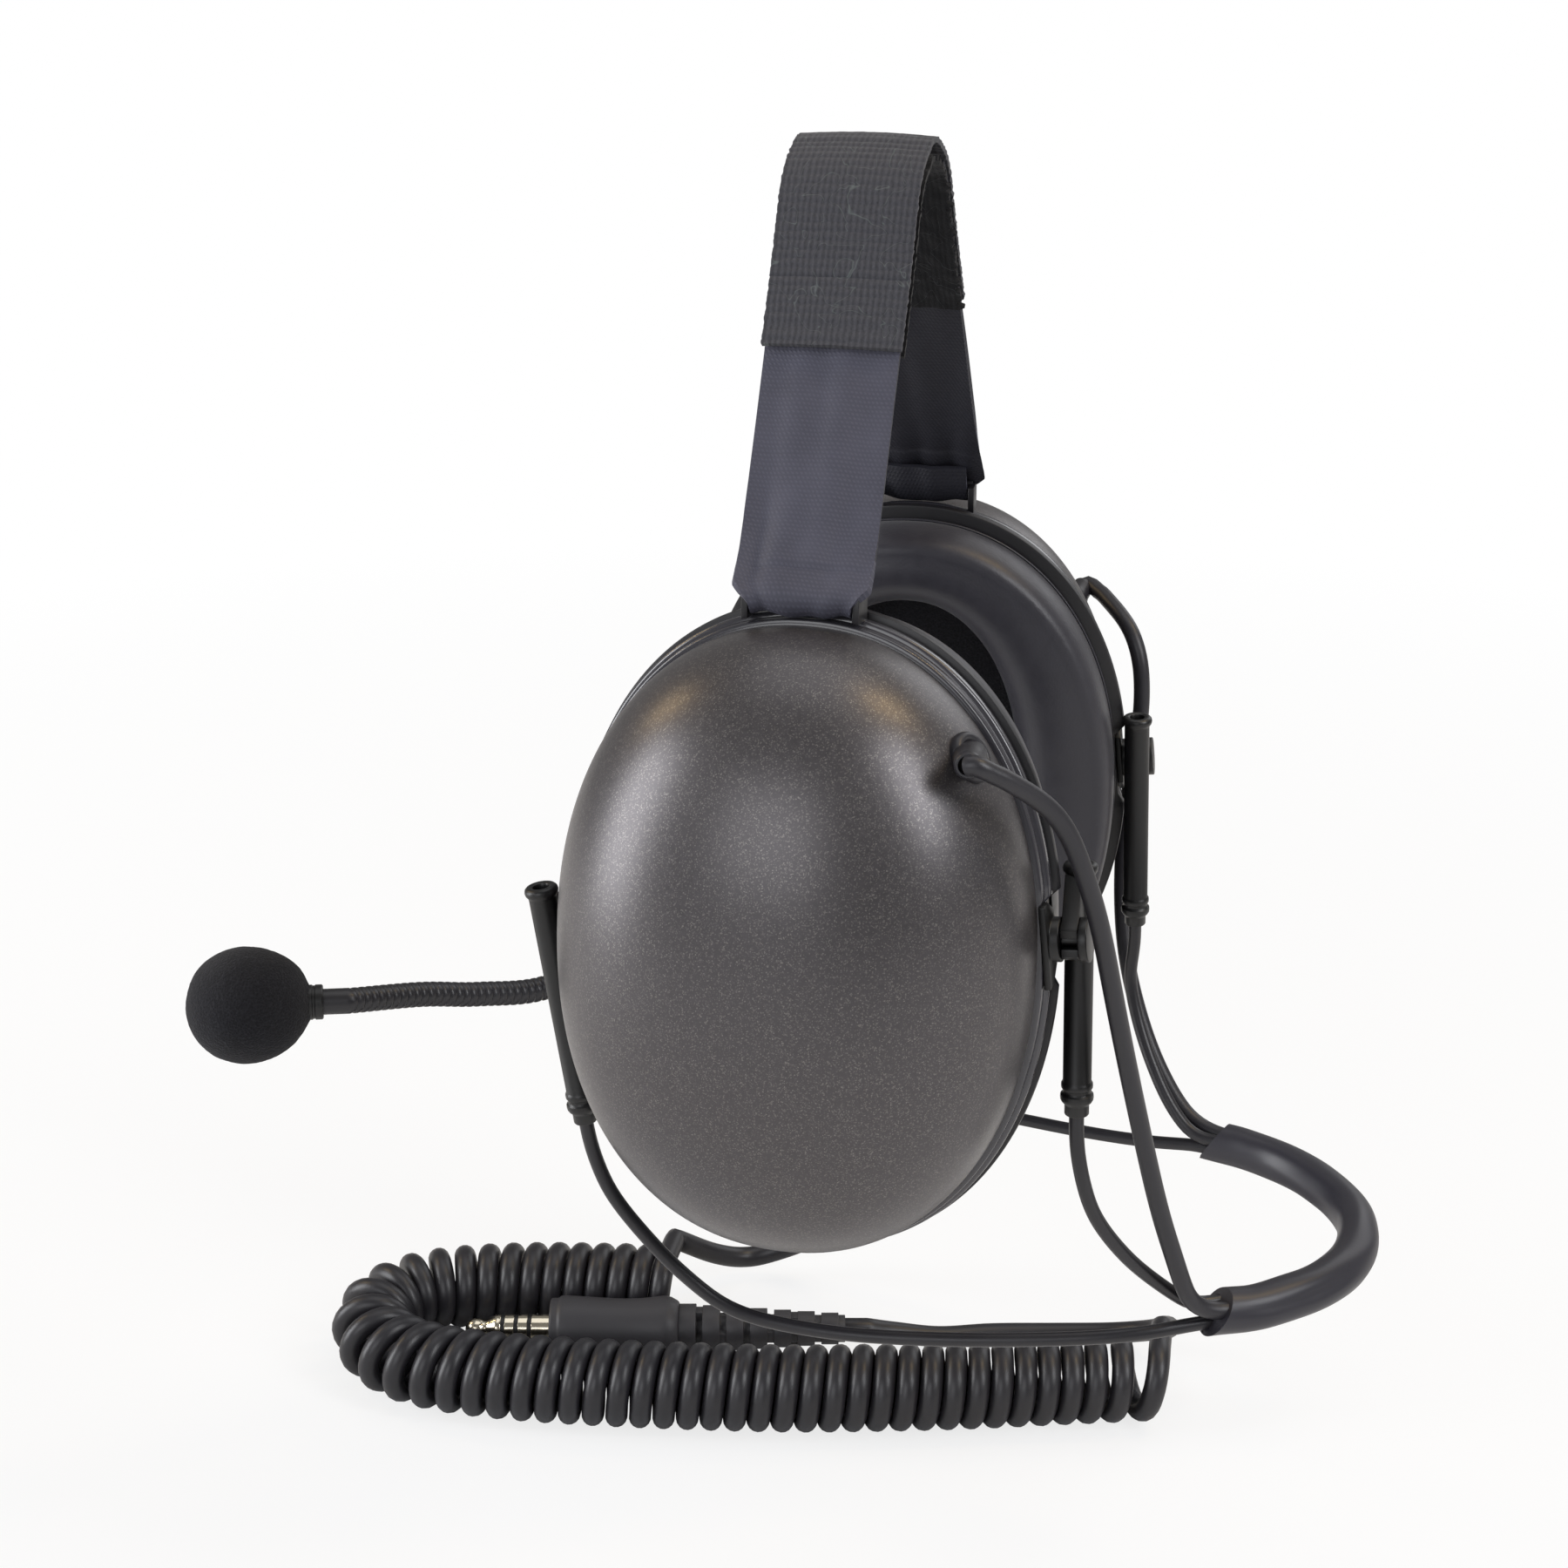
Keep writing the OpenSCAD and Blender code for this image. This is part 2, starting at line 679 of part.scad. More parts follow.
// Half of the strap's middle line, from its fold to the bar on the cup
function strap_half(side, steps) =
  let (
    bar = bar_point(side, 0),
    fold = [0, 0, strap_top],
    run = [0, bar[1], bar[2] - strap_top],
    out = unit([0, side * -run[2], abs(run[1])]),
    reach = 1 - (bar_d / 2 + strap_t / 2) / norm(run)
  )
  concat(
    [fold, [0, side * 2.2, strap_top - 1.4]],
    [for (k = [1:steps]) let (t = reach * (0.04 + 0.96 * k / steps))
      fold + t * run + strap_bulge * sin(180 * t) * out]
  );

// A strip of webbing along the strap's line: how far outside it, how thick,
// how wide, how much its middle bows outward and how wide its lower end is
module webbing(line, inner, thick, width, bow, end_width = 0) {
  cells = 4;
  n = len(line);
  m = 2 * (cells + 1);
  gather = end_width > 0 ? width - end_width : 0;
  function width_at(i) = width - gather * max(0, 1 - (n - 1 - i) / 3);
  function forward(i) = strap_fwd * max(0, (line[i][2] - bar_z) / (strap_top - bar_z));
  function across(i, j) = -cup_fwd - forward(i) + strap_skew * line[i][1] + width_at(i) * (j / cells - 0.5);
  function outward(i) = let (v = heading(line, i), side = v[2] < 0 ? 1 : -1, o = [0, -v[2], v[1]]) unit(o * (line[n - 1][1] > line[0][1] ? 1 : -1));
  points = flat([for (i = [0:n - 1]) let (o = outward(i)) concat(
    [for (j = [0:cells]) let (u = 2 * j / cells - 1)
      [across(i, j), line[i][1], line[i][2]] + (inner + bow * (1 - u * u)) * o],
    [for (j = [cells:-1:0]) let (u = 2 * j / cells - 1)
      [across(i, j), line[i][1], line[i][2]] + (inner + thick + bow * (1 - u * u)) * o]
  )]);
  flip_it = line[n - 1][1] > line[0][1];
  faces = concat(skin(n, m), end_faces(0, cells), [for (f = end_faces((n - 1) * m, cells)) [f[0], f[2], f[1]]]);
  polyhedron(points, flip_it ? [for (f = faces) [f[0], f[2], f[1]]] : faces);
}
function end_faces(start, cells) =
  [for (j = [0:cells - 1]) let (a = start + j, b = start + 2 * cells + 1 - j) each [[a, a + 1, b], [a + 1, b - 1, b]]];

function part_of(line, from, to) = [for (i = [from:to]) line[i]];
strap_steps = 14;
ply_end = 8;
ply_extra = 1.3;      // how much wider the plies are than the lower straps
strap_start = 3;

module lower_strap(side)
  union() {
    webbing(
      part_of(strap_half(side, strap_steps), strap_start, strap_steps + 1),
      -strap_t / 2, strap_t, strap_w - 1, 0.5, foot_w
    );
    at_cup(side)
      translate([side * bar_shift - loop_w / 2, bar_y, bar_z])
        rotate([0, 90, 0])
          difference() {
            cylinder(d = bar_d + 2 * strap_t, h = loop_w);
            translate([0, 0, -1])
              cylinder(d = bar_d + 2 * pin_fit, h = loop_w + 2);
          }
  }

function whole_line(last) =
  let (r = strap_half(right, strap_steps), l = strap_half(left, strap_steps))
  concat([for (i = [last:-1:1]) l[i]], [for (i = [0:last]) r[i]]);

// ---- boom microphone, on the right shell ----

hub_x = -30;
hub_z = -34;
hub_y = 37.4;
hub_t = 6.6;
hub_pin_d = 5;
module boom_base()
  difference() {
    translate([hub_x, 18, hub_z])
      rotate([-90, 0, 0])
        cylinder(d = hub_d, h = hub_y - 18.3);
    dome_core();
    translate([hub_x, 10, hub_z])
      rotate([-90, 0, 0])
        cylinder(d = hub_pin_d + 2 * pin_fit, h = hub_y);
  }

// The space that the shell fills, for seating the boom's base on it
module dome_core() {
  rows = dome_rows;
  points = flat([for (i = [0:rows - 1]) dome_row(0, dome_d, 90 * i / rows)]);
  last = (rows - 1) * seg;
  polyhedron(
    concat(points, [[0, lip_y + dome_d, dome_rise], [0, lip_y, 0]]),
    concat(
      skin(rows, seg),
      [for (k = [0:seg - 1]) [last + (k + 1) % seg, last + k, rows * seg]],
      [for (k = [0:seg - 1]) [k, (k + 1) % seg, rows * seg + 1]]
    )
  );
}

// The gooseneck's route in the whole frame, from the hub to the microphone
goose_route = [[-60.5, 79, -51], [-75, 65.5, -59.5], [-87.5, 52, -63.6], [-99, 38.5, -60.4], [-108, 26.5, -56]];
hub_exit = cup_point(right, [hub_x - hub_d / 2 - 3, hub_y + hub_t / 2, hub_z - 3]);
hub_root = cup_point(right, [hub_x - 2, hub_y + hub_t / 2, hub_z - 0.7]);
mic_dir = unit([-0.93, -0.36, 0.02]);
mic_mid = [-138, 2.5, -50.8];
collar_l = 6;
collar_back = mic_mid - (foam_l / 2 + collar_l - 3) * mic_dir;
goose_line = concat(
  [hub_exit],
  smooth(concat(
    [hub_exit + gooseneck_d * unit(hub_exit - hub_root)],
    goose_route,
    [collar_back - gooseneck_d * mic_dir]
  ), 8),
  [collar_back]
);
function line_length(p, i = 0, total = 0) =
  i < len(p) - 1 ? line_length(p, i + 1, total + norm(p[i + 1] - p[i])) : total;
function run_table(p) =
  [for (i = 0, s = 0; i < len(p); i = i + 1, s = i < len(p) ? s + norm(p[i] - p[i - 1]) : s) [s, i]];
function at_run(p, table, s) =
  let (u = lookup(s, table), i = min(floor(u), len(p) - 2)) p[i] + (u - i) * (p[i + 1] - p[i]);

rib_depth = 0.35;
goose_table = run_table(goose_line);
goose_length = goose_table[len(goose_table) - 1][0];
module gooseneck() {
  count = 2 * gooseneck_ribs + 1;
  p = concat(
    [goose_line[0]],
    [for (i = [0:count]) at_run(goose_line, goose_table, gooseneck_d + (goose_length - 2 * gooseneck_d) * i / count)],
    [goose_line[len(goose_line) - 1]]
  );
  radii = [for (i = [0:len(p) - 1])
    gooseneck_d / 2 - (i > 0 && i < len(p) - 1 && i % 2 == 0 ? rib_depth : 0)];
  swept(p, radii, 8);
}

module boom_hub()
  difference() {
    union() {
      at_cup(right)
        translate([hub_x, hub_y, hub_z])
          rotate([-90, 0, 0])
            cylinder(d = hub_d, h = hub_t);
      translate(hub_root)
        along(unit(hub_exit - hub_root))
          cylinder(d = gooseneck_d + 1, h = norm(hub_exit - hub_root));
    }
    at_cup(right)
      translate([hub_x, hub_y - 1, hub_z])
        rotate([-90, 0, 0]) {
          cylinder(d = hub_pin_d + 2 * pin_fit, h = hub_t + 2);
          translate([0, 0, hub_t - 0.8])
            cylinder(d = 9.4, h = 3);
        }
  }

// A shouldered screw holds the hub on its base and lets it turn
module boom_screw()
  translate([hub_x, hub_y, hub_z])
    rotate([-90, 0, 0])
      difference() {
        union() {
          translate([0, 0, -6])
            cylinder(d = hub_pin_d, h = 6 + hub_t - 1);
          translate([0, 0, hub_t - 1.5])
            cylinder(d = 9, h = 1.3);
        }
        translate([0, 0, hub_t - 1])
          cylinder(d = 3, h = 2, $fn = 6);
      }

module mic_collar()
  translate(collar_back)
    along(mic_dir)
      difference() {
        union() {
          cylinder(d = gooseneck_d + 2, h = collar_l - 1.5);
          cylinder(d = gooseneck_d + 1, h = collar_l);
        }
        translate([0, 0, -1])
          cylinder(d = 2, h = 3);
      }

module mic_capsule()
  translate(collar_back)
    along(mic_dir)
      translate([0, 0, collar_l])
        cylinder(d = capsule_d, h = 7);

// Foam ball with a socket for the capsule and a neck round the collar
module windscreen()
  translate(collar_back)
    along(mic_dir)
      rotate_extrude($fn = 40)
        difference() {
          polygon(concat(
            [for (a = [-90:10:90]) [foam_d / 2 * cos(a), collar_l - 3 + foam_l / 2 * (1 + sin(a))]],
            [[0, collar_l - 3 + foam_l], [0, collar_l - 3]]
          ));
          polygon([
            [0, 0], [gooseneck_d / 2 + 1 + fit, 0], [gooseneck_d / 2 + 1 + fit, collar_l],
            [capsule_d / 2 + fit, collar_l], [capsule_d / 2 + fit, collar_l + 7 + fit], [0, collar_l + 7 + fit]
          ]);
        }

// ---- curly cord and plug ----

ground = -cord_drop;
cord_r = cord_d / 2;
curl_z = ground + curl_r + cord_r;
coil_route = [
  [54, 78], [33, 71], [12, 64.5], [-9, 58.5], [-31, 53], [-53, 48.8], [-75, 45.2], [-94, 43.2],
  [-110, 42.6], [-123, 44.8], [-132, 49.6], [-136.4, 57.5], [-134, 67], [-125, 75], [-113, 81.2],
  [-101, 86.2], [-87, 90.4], [-71, 94.6]
];
route_steps = 8;
coil_mid = smooth(coil_route, route_steps);
first_curl = 0.9;     // how much wider the first curl is spaced than the rest

function bend_at(p, i) =
  i < 1 || i > len(p) - 2 ? 0 :
  let (a = p[i] - p[i - 1], b = p[i + 1] - p[i])
  abs(asin(max(-1, min(1, (a[0] * b[1] - a[1] * b[0]) / norm(a) / norm(b))))) * PI / 180 / (norm(a) + norm(b)) * 2;

// The curls keep their pitch on the inside of each bend
function curl_step(i, s) =
  let (open = 1 + first_curl * exp(-s / 4))
  360 * (1 - curl_r * (bend_at(coil_mid, i) + bend_at(coil_mid, i - 1)) / 2) / (curl_pitch * open);
curl_turns = [for (
  i = 0, s = 0, a = 0;
  i < len(coil_mid);
  i = i + 1,
  step = i < len(coil_mid) ? norm(coil_mid[i] - coil_mid[i - 1]) : 0,
  a = i < len(coil_mid) ? a + step * curl_step(i, s) : a,
  s = s + step
) [a, i]];
curl_count = round(curl_turns[len(curl_turns) - 1][0] / 360);
curl_scale = curl_turns[len(curl_turns) - 1][0] / (360 * curl_count);
curl_rings = 8;

function mid_at(u) = let (i = min(floor(u), len(coil_mid) - 2)) coil_mid[i] + (u - i) * (coil_mid[i + 1] - coil_mid[i]);
function mid_dir(u) =
  let (i = min(floor(u), len(coil_mid) - 2), a = heading(coil_mid, i), b = heading(coil_mid, i + 1)) unit(a + (u - i) * (b - a));
function curl_out(a) =
  let (u = lookup(a * curl_scale, curl_turns), v = mid_dir(u), side = [-v[1], v[0]])
  [side[0] * sin(a), side[1] * sin(a), cos(a)];
function curl_at(a) =
  let (c = mid_at(lookup(a * curl_scale, curl_turns))) [c[0], c[1], curl_z] + curl_r * curl_out(a);

curl_points = [for (k = [0:curl_rings * curl_count]) curl_at(360 * k / curl_rings)];
coil_start = curl_points[0];
coil_end = curl_points[len(curl_points) - 1];
start_dir = unit(curl_points[1] - coil_start + [0, 0, coil_start[2] - curl_points[1][2]]);
end_dir = unit(coil_end - curl_points[len(curl_points) - 2] + [0, 0, curl_points[len(curl_points) - 2][2] - coil_end[2]]);
curl_line = concat(
  [coil_start - cord_d * start_dir],
  curl_points,
  [coil_end + cord_d * end_dir]
);
curl_normals = concat(
  [[0, 0, 1]],
  [for (k = [0:len(curl_points) - 1]) square_to(heading(curl_line, k + 1), curl_out(360 * k / curl_rings))],
  [[0, 0, 1]]
);
curl_gap = min([for (i = [0:len(curl_line) - curl_rings - 4]) for (k = [curl_rings - 2:curl_rings + 3])
  norm(curl_line[i + k] - curl_line[i])]) - cord_d;
echo(curls = curl_count, least_gap_between_curls = curl_gap);
echo(cord_in_curls = line_length(curl_line));

module cord_curls()
  swept(curl_line, [for (p = curl_line) cord_r], 6, curl_normals);

gland_x = 8;
gland_y = 22;
gland_z = -54;
gland_l = 12;
gland_core_d = 9;
gland_dir = cup_point(right, [0, 0, -1]) - cup_point(right, [0, 0, 0]);
gland_end = cup_point(right, [gland_x, gland_y, gland_z - gland_l]);
// Down from the gland, out to the surface and up to the last curl
lead_route = [
  [4, 79, -84], [1.5, 85, -101], [-5, 94, -119], [-14, 104, -135], [-25, 112, -149], [-37, 118, -159.8],
  [-46.5, 119.5, -166], [-55.5, 117, -168.4], [-63, 111, -165]
];
lead_line = concat(
  [gland_end],
  smooth(concat(
    [gland_end + cord_d * gland_dir],
    lead_route,
    [coil_end + 1.9 * cord_d * end_dir]
  ), 3),
  [coil_end + cord_d * end_dir]
);

module cord_gland() {
  difference() {
    translate([gland_x, gland_y, gland_z - 2])
      cylinder(d = 12, h = 8);
    dome_core();
  }
  translate([gland_x, gland_y, gland_z])
    rotate([180, 0, 0]) {
      translate([0, 0, -6])
        cylinder(d = gland_core_d, h = 8);
      cylinder(d = gland_core_d, h = 5);
      for (k = [0:2])
        translate([0, 0, 5 + 2.3 * k])
          cylinder(d = cord_d + 2.6 - 0.5 * k, h = 1.4);
      cylinder(d = cord_d + 1.2, h = gland_l);
    }
}

plug_r = plug_d / 2;
plug_turn = 13.4;
plug_face = [-95, 68.8, ground + plug_r];
plug_axis = [cos(plug_turn), sin(plug_turn), 0];
tail_root = plug_face + (plug_l + relief_l) * plug_axis;
// Along the surface behind the curls, then round and over into the first curl
tail_route = [
  [-11, 89, -169.4], [3, 93, -172], [18, 97.5, -172.3], [33, 102, -172.3], [46, 104.5, -171.6],
  [55, 102, -168], [58.5, 95.5, -162.6]
];
tail_line = concat(
  [tail_root],
  smooth(concat(
    [tail_root + cord_d * plug_axis],
    tail_route,
    [coil_start - 1.9 * cord_d * start_dir]
  ), 3),
  [coil_start - cord_d * start_dir]
);
echo(lead_length = line_length(lead_line), tail_length = line_length(tail_line));

module at_plug()
  translate(plug_face)
    rotate([0, 0, plug_turn])
      rotate([0, 90, 0])
        children();

// The body has a lip, a waist and a shoulder that steps down to the relief
module plug_body()
  at_plug()
    rotate_extrude()
      polygon([
        [0, 0], [plug_r * 0.93, 0], [plug_r * 0.93, 2], [plug_r, 2.6], [plug_r, plug_l * 0.18],
        [plug_r * 0.95, plug_l * 0.36], [plug_r * 0.91, plug_l * 0.55], [plug_r * 0.92, plug_l * 0.72],
        [plug_r, plug_l * 0.88], [plug_r * 0.98, plug_l * 0.94], [plug_r * 0.8, plug_l], [0, plug_l]
      ]);

// Rings on a core, each pair joined on alternate sides so that it bends
relief_cells = 7;
relief_pitch = relief_l / relief_cells;
module plug_relief()
  at_plug()
    translate([0, 0, plug_l]) {
      cylinder(d = cord_d + 1.4, h = relief_l);
      for (k = [0:relief_cells - 1]) {
        d = 12.4 - 0.75 * k;
        translate([0, 0, k * relief_pitch])
          cylinder(d = d, h = relief_pitch * 0.72);
        if (k < relief_cells - 1)
          translate([0, 0, (k + 0.5) * relief_pitch + relief_pitch / 2])
            rotate([0, 0, 90 * (k % 2)])
              cube([d - 1.4, 3, relief_pitch], center = true);
      }
    }

stem_d = contact_d;
insulator_t = 1;
sleeve_l = contact_l * 0.22;
ring_l = contact_l * 0.11;
plug_steps = [0, sleeve_l, sleeve_l + insulator_t, sleeve_l + insulator_t + ring_l,
  sleeve_l + 2 * insulator_t + ring_l, sleeve_l + 2 * insulator_t + 2 * ring_l,
  sleeve_l + 3 * insulator_t + 2 * ring_l];
core_d = 2.6;
module contact(from, to, bore = true)
  at_plug()
    difference() {
      translate([0, 0, -to])
        cylinder(d = stem_d, h = to - from);
      if (bore)
        translate([0, 0, -to - 1])
          cylinder(d = core_d, h = to - from + 2);
    }

module plug_sleeve()
  contact(plug_steps[0], plug_steps[1]);

module plug_rings() {
  contact(plug_steps[2], plug_steps[3]);
  contact(plug_steps[4], plug_steps[5]);
}

module plug_insulators() {
  contact(plug_steps[1], plug_steps[2]);
  contact(plug_steps[3], plug_steps[4]);
  contact(plug_steps[5], plug_steps[6]);
}

// The tip is a shoulder, a waist and a ball, on a rod that runs down the stem
tip_l = contact_l - plug_steps[6];
module plug_tip()
  at_plug()
    translate([0, 0, -plug_steps[6]])
      rotate_extrude()
        polygon(concat(
          [[0, plug_steps[6]], [core_d / 2, plug_steps[6]], [core_d / 2, 0], [stem_d / 2, 0]],
          [[stem_d / 2, -tip_l * 0.14], [stem_d * 0.3, -tip_l * 0.4]],
          [for (a = [40:-15:-80]) [stem_d * 0.37 * cos(a), -tip_l * 0.68 + tip_l * 0.32 * sin(a)]],
          [[0, -tip_l]]
        ));

// ---- nodes ----

paint = [0.27, 0.26, 0.25];
dark = [0.08, 0.08, 0.09];
satin = [0.2, 0.2, 0.22];
cloth = [0.12, 0.13, 0.15];

color(paint) at_cup(left) shell(left);  // left_shell
color(satin) at_cup(left) seal_ring();  // left_seal_ring
color(dark) at_cup(left) cushion_plate();  // left_cushion_plate
color(cloth) at_cup(left) cushion();  // left_cushion
color(dark) at_cup(left) foam_liner();  // left_foam_liner
color(satin) at_cup(left) baffle();  // left_baffle
color("dimgray") at_cup(left) speaker();  // left_speaker
color("gray") at_cup(left) absorber();  // left_absorber
color("silver") at_cup(left) baffle_screws();  // left_baffle_screws
color(dark) at_cup(left) grommet(left);  // left_grommet
color(dark) at_cup(left) bracket(front);  // left_front_bracket
color(dark) at_cup(left) bracket(rear);  // left_rear_bracket
color(dark) at_cup(left) strap_anchor(left);  // left_strap_anchor
color(cloth) lower_strap(left);  // left_strap
color(dark) cable(link_line(left), link_d / 2);  // left_cable
color(dark) at_cup(left) barrel(front);  // left_front_barrel
color(dark) at_cup(left) barrel(rear);  // left_rear_barrel
color(dark) band_wire(left, front);  // left_front_wire
color(dark) band_wire(left, rear);  // left_rear_wire
color(paint) at_cup(right) shell(right);  // right_shell
color(satin) at_cup(right) seal_ring();  // right_seal_ring
color(dark) at_cup(right) cushion_plate();  // right_cushion_plate
color(cloth) at_cup(right) cushion();  // right_cushion
color(dark) at_cup(right) foam_liner();  // right_foam_liner
color(satin) at_cup(right) baffle();  // right_baffle
color("dimgray") at_cup(right) speaker();  // right_speaker
color("gray") at_cup(right) absorber();  // right_absorber
color("silver") at_cup(right) baffle_screws();  // right_baffle_screws
color(dark) at_cup(right) grommet(right);  // right_grommet
color(dark) at_cup(right) bracket(front);  // right_front_bracket
color(dark) at_cup(right) bracket(rear);  // right_rear_bracket
color(dark) at_cup(right) strap_anchor(right);  // right_strap_anchor
color(cloth) lower_strap(right);  // right_strap
color(dark) cable(link_line(right), link_d / 2);  // right_cable
color(dark) at_cup(right) barrel(front);  // right_front_barrel
color(dark) at_cup(right) barrel(rear);  // right_rear_barrel
color(dark) band_wire(right, front);  // right_front_wire
color(dark) band_wire(right, rear);  // right_rear_wire
color(dark) hose(smooth(sleeve_line, 2), sleeve_r, sleeve_bore, 12);  // neck_sleeve
color(cloth) webbing(whole_line(ply_end), strap_t / 2 + fit, ply_t, strap_w + ply_extra, 0.5);  // strap_outer_ply
color(cloth) webbing(whole_line(ply_end), -strap_t / 2 - fit - ply_t, ply_t, strap_w + ply_extra, 0.5);  // strap_inner_ply
color(dark) at_cup(right) boom_base();
color(dark) boom_hub();
color("silver") at_cup(right) boom_screw();
color(dark) gooseneck();
color(dark) mic_collar();
color("silver") mic_capsule();
color(dark) windscreen();
color(dark) at_cup(right) cord_gland();
color(dark) cable(lead_line, cord_r);  // cord_lead
color(dark) cord_curls();
color(dark) cable(tail_line, cord_r);  // cord_tail
color(dark) plug_relief();
color(dark) plug_body();
color("gold") plug_sleeve();
color("gold") plug_rings();
color("gold") plug_tip();
color(dark) plug_insulators();
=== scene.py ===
"""Communication headset worn behind the neck, dressed round its CAD frame.

+X points to the back of the head, +Y to the wearer's right ear and +Z up. Sizes
in the code are millimetres; each finished mesh is scaled to metres and keeps its
place in its vertices.
"""
import math

import bmesh
import bpy
from mathutils import Matrix, Vector, noise


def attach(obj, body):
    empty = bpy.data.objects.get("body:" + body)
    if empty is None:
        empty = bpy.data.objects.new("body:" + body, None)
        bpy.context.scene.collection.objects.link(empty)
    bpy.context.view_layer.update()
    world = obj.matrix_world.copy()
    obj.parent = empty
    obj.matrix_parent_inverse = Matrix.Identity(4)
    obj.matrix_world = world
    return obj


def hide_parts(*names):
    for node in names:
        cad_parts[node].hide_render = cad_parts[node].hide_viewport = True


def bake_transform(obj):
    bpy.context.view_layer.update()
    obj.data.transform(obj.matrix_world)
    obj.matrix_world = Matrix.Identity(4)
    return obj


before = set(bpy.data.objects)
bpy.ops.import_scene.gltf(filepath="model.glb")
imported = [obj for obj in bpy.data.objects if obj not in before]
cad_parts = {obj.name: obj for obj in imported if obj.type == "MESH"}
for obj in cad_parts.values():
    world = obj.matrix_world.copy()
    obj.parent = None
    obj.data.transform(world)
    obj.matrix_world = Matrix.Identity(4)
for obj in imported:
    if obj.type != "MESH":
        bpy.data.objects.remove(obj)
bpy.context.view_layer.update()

MM = 0.001
METRES = Matrix.Scale(MM, 4)
LEFT, RIGHT = -1, 1
FRONT, REAR = -1, 1
SIDES = {LEFT: "left", RIGHT: "right"}
ENDS = {FRONT: "front", REAR: "rear"}

bl_info = {
    "name": "Headset",
    "version": (1, 0, 0),
    "blender": (4, 5, 0),
    "location": "View3D > Sidebar > Headset",
    "description": "Builds a behind-the-neck communication headset with its studio",
    "category": "Object",
}


# ---- settings ----

def linear(colour):
    """An sRGB hex colour as a linear RGBA tuple."""
    parts = [int(colour[i:i + 2], 16) / 255 for i in (1, 3, 5)]
    return tuple(c / 12.92 if c <= 0.04045 else ((c + 0.055) / 1.055) ** 2.4 for c in parts) + (1.0,)


def size(name, metres, description):
    """A length that a user may change, in metres."""
    return bpy.props.FloatProperty(
        name=name, description=description, default=metres, min=0.0, unit="LENGTH", precision=4)


def tint(name, colour, description):
    """A colour that a user may change."""
    return bpy.props.FloatVectorProperty(
        name=name, description=description, default=linear(colour), size=4, min=0.0, max=1.0, subtype="COLOR")


class CupSettings(bpy.types.PropertyGroup):
    rim_width: size("Rim width", 0.092, "Width of a cup's rim, front to back")
    rim_height: size("Rim height", 0.121, "Height of a cup's rim")
    dome_depth: size("Dome depth", 0.037, "Depth of the shell above its lip")
    shell_wall: size("Shell wall", 0.0024, "Thickness of the shell")
    cushion_depth: size("Cushion depth", 0.015, "Thickness of the ear cushion")
    paint: tint("Shell paint", "#4e4b4d", "Flake paint of the shells")
    plastic: tint("Moulded plastic", "#19181b", "Rims, brackets and barrels")
    leather: tint("Cushion cover", "#2c2b32", "Soft cover of the ear cushions")


class StrapSettings(bpy.types.PropertyGroup):
    width: size("Strap width", 0.025, "Width of the head strap")
    top: size("Fold height", 0.1361, "Height of the strap's fold above the middle of the head")
    thickness: size("Webbing thickness", 0.0016, "Thickness of the lower straps")
    ply: size("Ply thickness", 0.001, "Thickness of each hook-and-loop ply")
    rib: size("Rib spacing", 0.0017, "Distance from one cross rib of the plies to the next")
    web: tint("Webbing", "#464651", "Colour of the lower straps")
    loop: tint("Loop fabric", "#38383c", "Colour of the outer ply")
    hook: tint("Hook fabric", "#101012", "Colour of the inner ply")


class BandSettings(bpy.types.PropertyGroup):
    wire: size("Wire diameter", 0.0028, "Diameter of the coated spring wires")
    cable: size("Cable diameter", 0.0035, "Diameter of the cable that joins the cups")
    sleeve: size("Sleeve diameter", 0.0088, "Outside diameter of the neck sleeve")
    coat: tint("Wire coating", "#1f1e22", "Plastic coating of the spring wires")
    sheath: tint("Sleeve", "#2a2930", "Soft sleeve behind the neck")
    jacket: tint("Cable jacket", "#222126", "Jacket of the cable that joins the cups")


class BoomSettings(bpy.types.PropertyGroup):
    neck: size("Gooseneck diameter", 0.0057, "Outside diameter of the gooseneck")
    foam_width: size("Windscreen diameter", 0.0262, "Diameter of the foam ball")
    foam_length: size("Windscreen length", 0.027, "Length of the foam ball")
    ribs: bpy.props.IntProperty(name="Ribs", description="Number of ribs along the gooseneck", default=64, min=20)
    foam: tint("Foam", "#222226", "Open foam of the windscreen")


class CordSettings(bpy.types.PropertyGroup):
    cord: size("Cord diameter", 0.0054, "Diameter of the curly cord")
    curl: size("Curl radius", 0.0078, "Radius of the curls at the cord's centre")
    pitch: size("Curl pitch", 0.00565, "Distance from one curl to the next")
    plug: size("Plug diameter", 0.0164, "Diameter of the plug's body")
    stem: size("Contact diameter", 0.00714, "Diameter of the plug's contacts")
    jacket: tint("Cord jacket", "#212024", "Jacket of the curly cord")
    body: tint("Plug body", "#333235", "Moulded body of the plug")
    plating: tint("Plating", "#d8cfba", "Plated contacts of the plug")


class StudioSettings(bpy.types.PropertyGroup):
    lens: bpy.props.FloatProperty(name="Lens", description="Focal length of the camera", default=60.0, unit="CAMERA")
    sky: bpy.props.FloatProperty(name="Sky strength", description="Strength of the even light", default=0.24, min=0.0)
    floor: tint("Floor", "#e8e8e8", "Colour of the floor")


SETTINGS = {
    "headset_cup": CupSettings, "headset_strap": StrapSettings, "headset_band": BandSettings,
    "headset_boom": BoomSettings, "headset_cord": CordSettings, "headset_studio": StudioSettings,
}


def chosen(group, name):
    """A setting: a length in millimetres, or a colour or count as it is."""
    value = getattr(getattr(bpy.context.scene, "headset_" + group), name)
    return value / MM if isinstance(value, float) else value


# ---- the CAD frame's own sizes, in millimetres ----

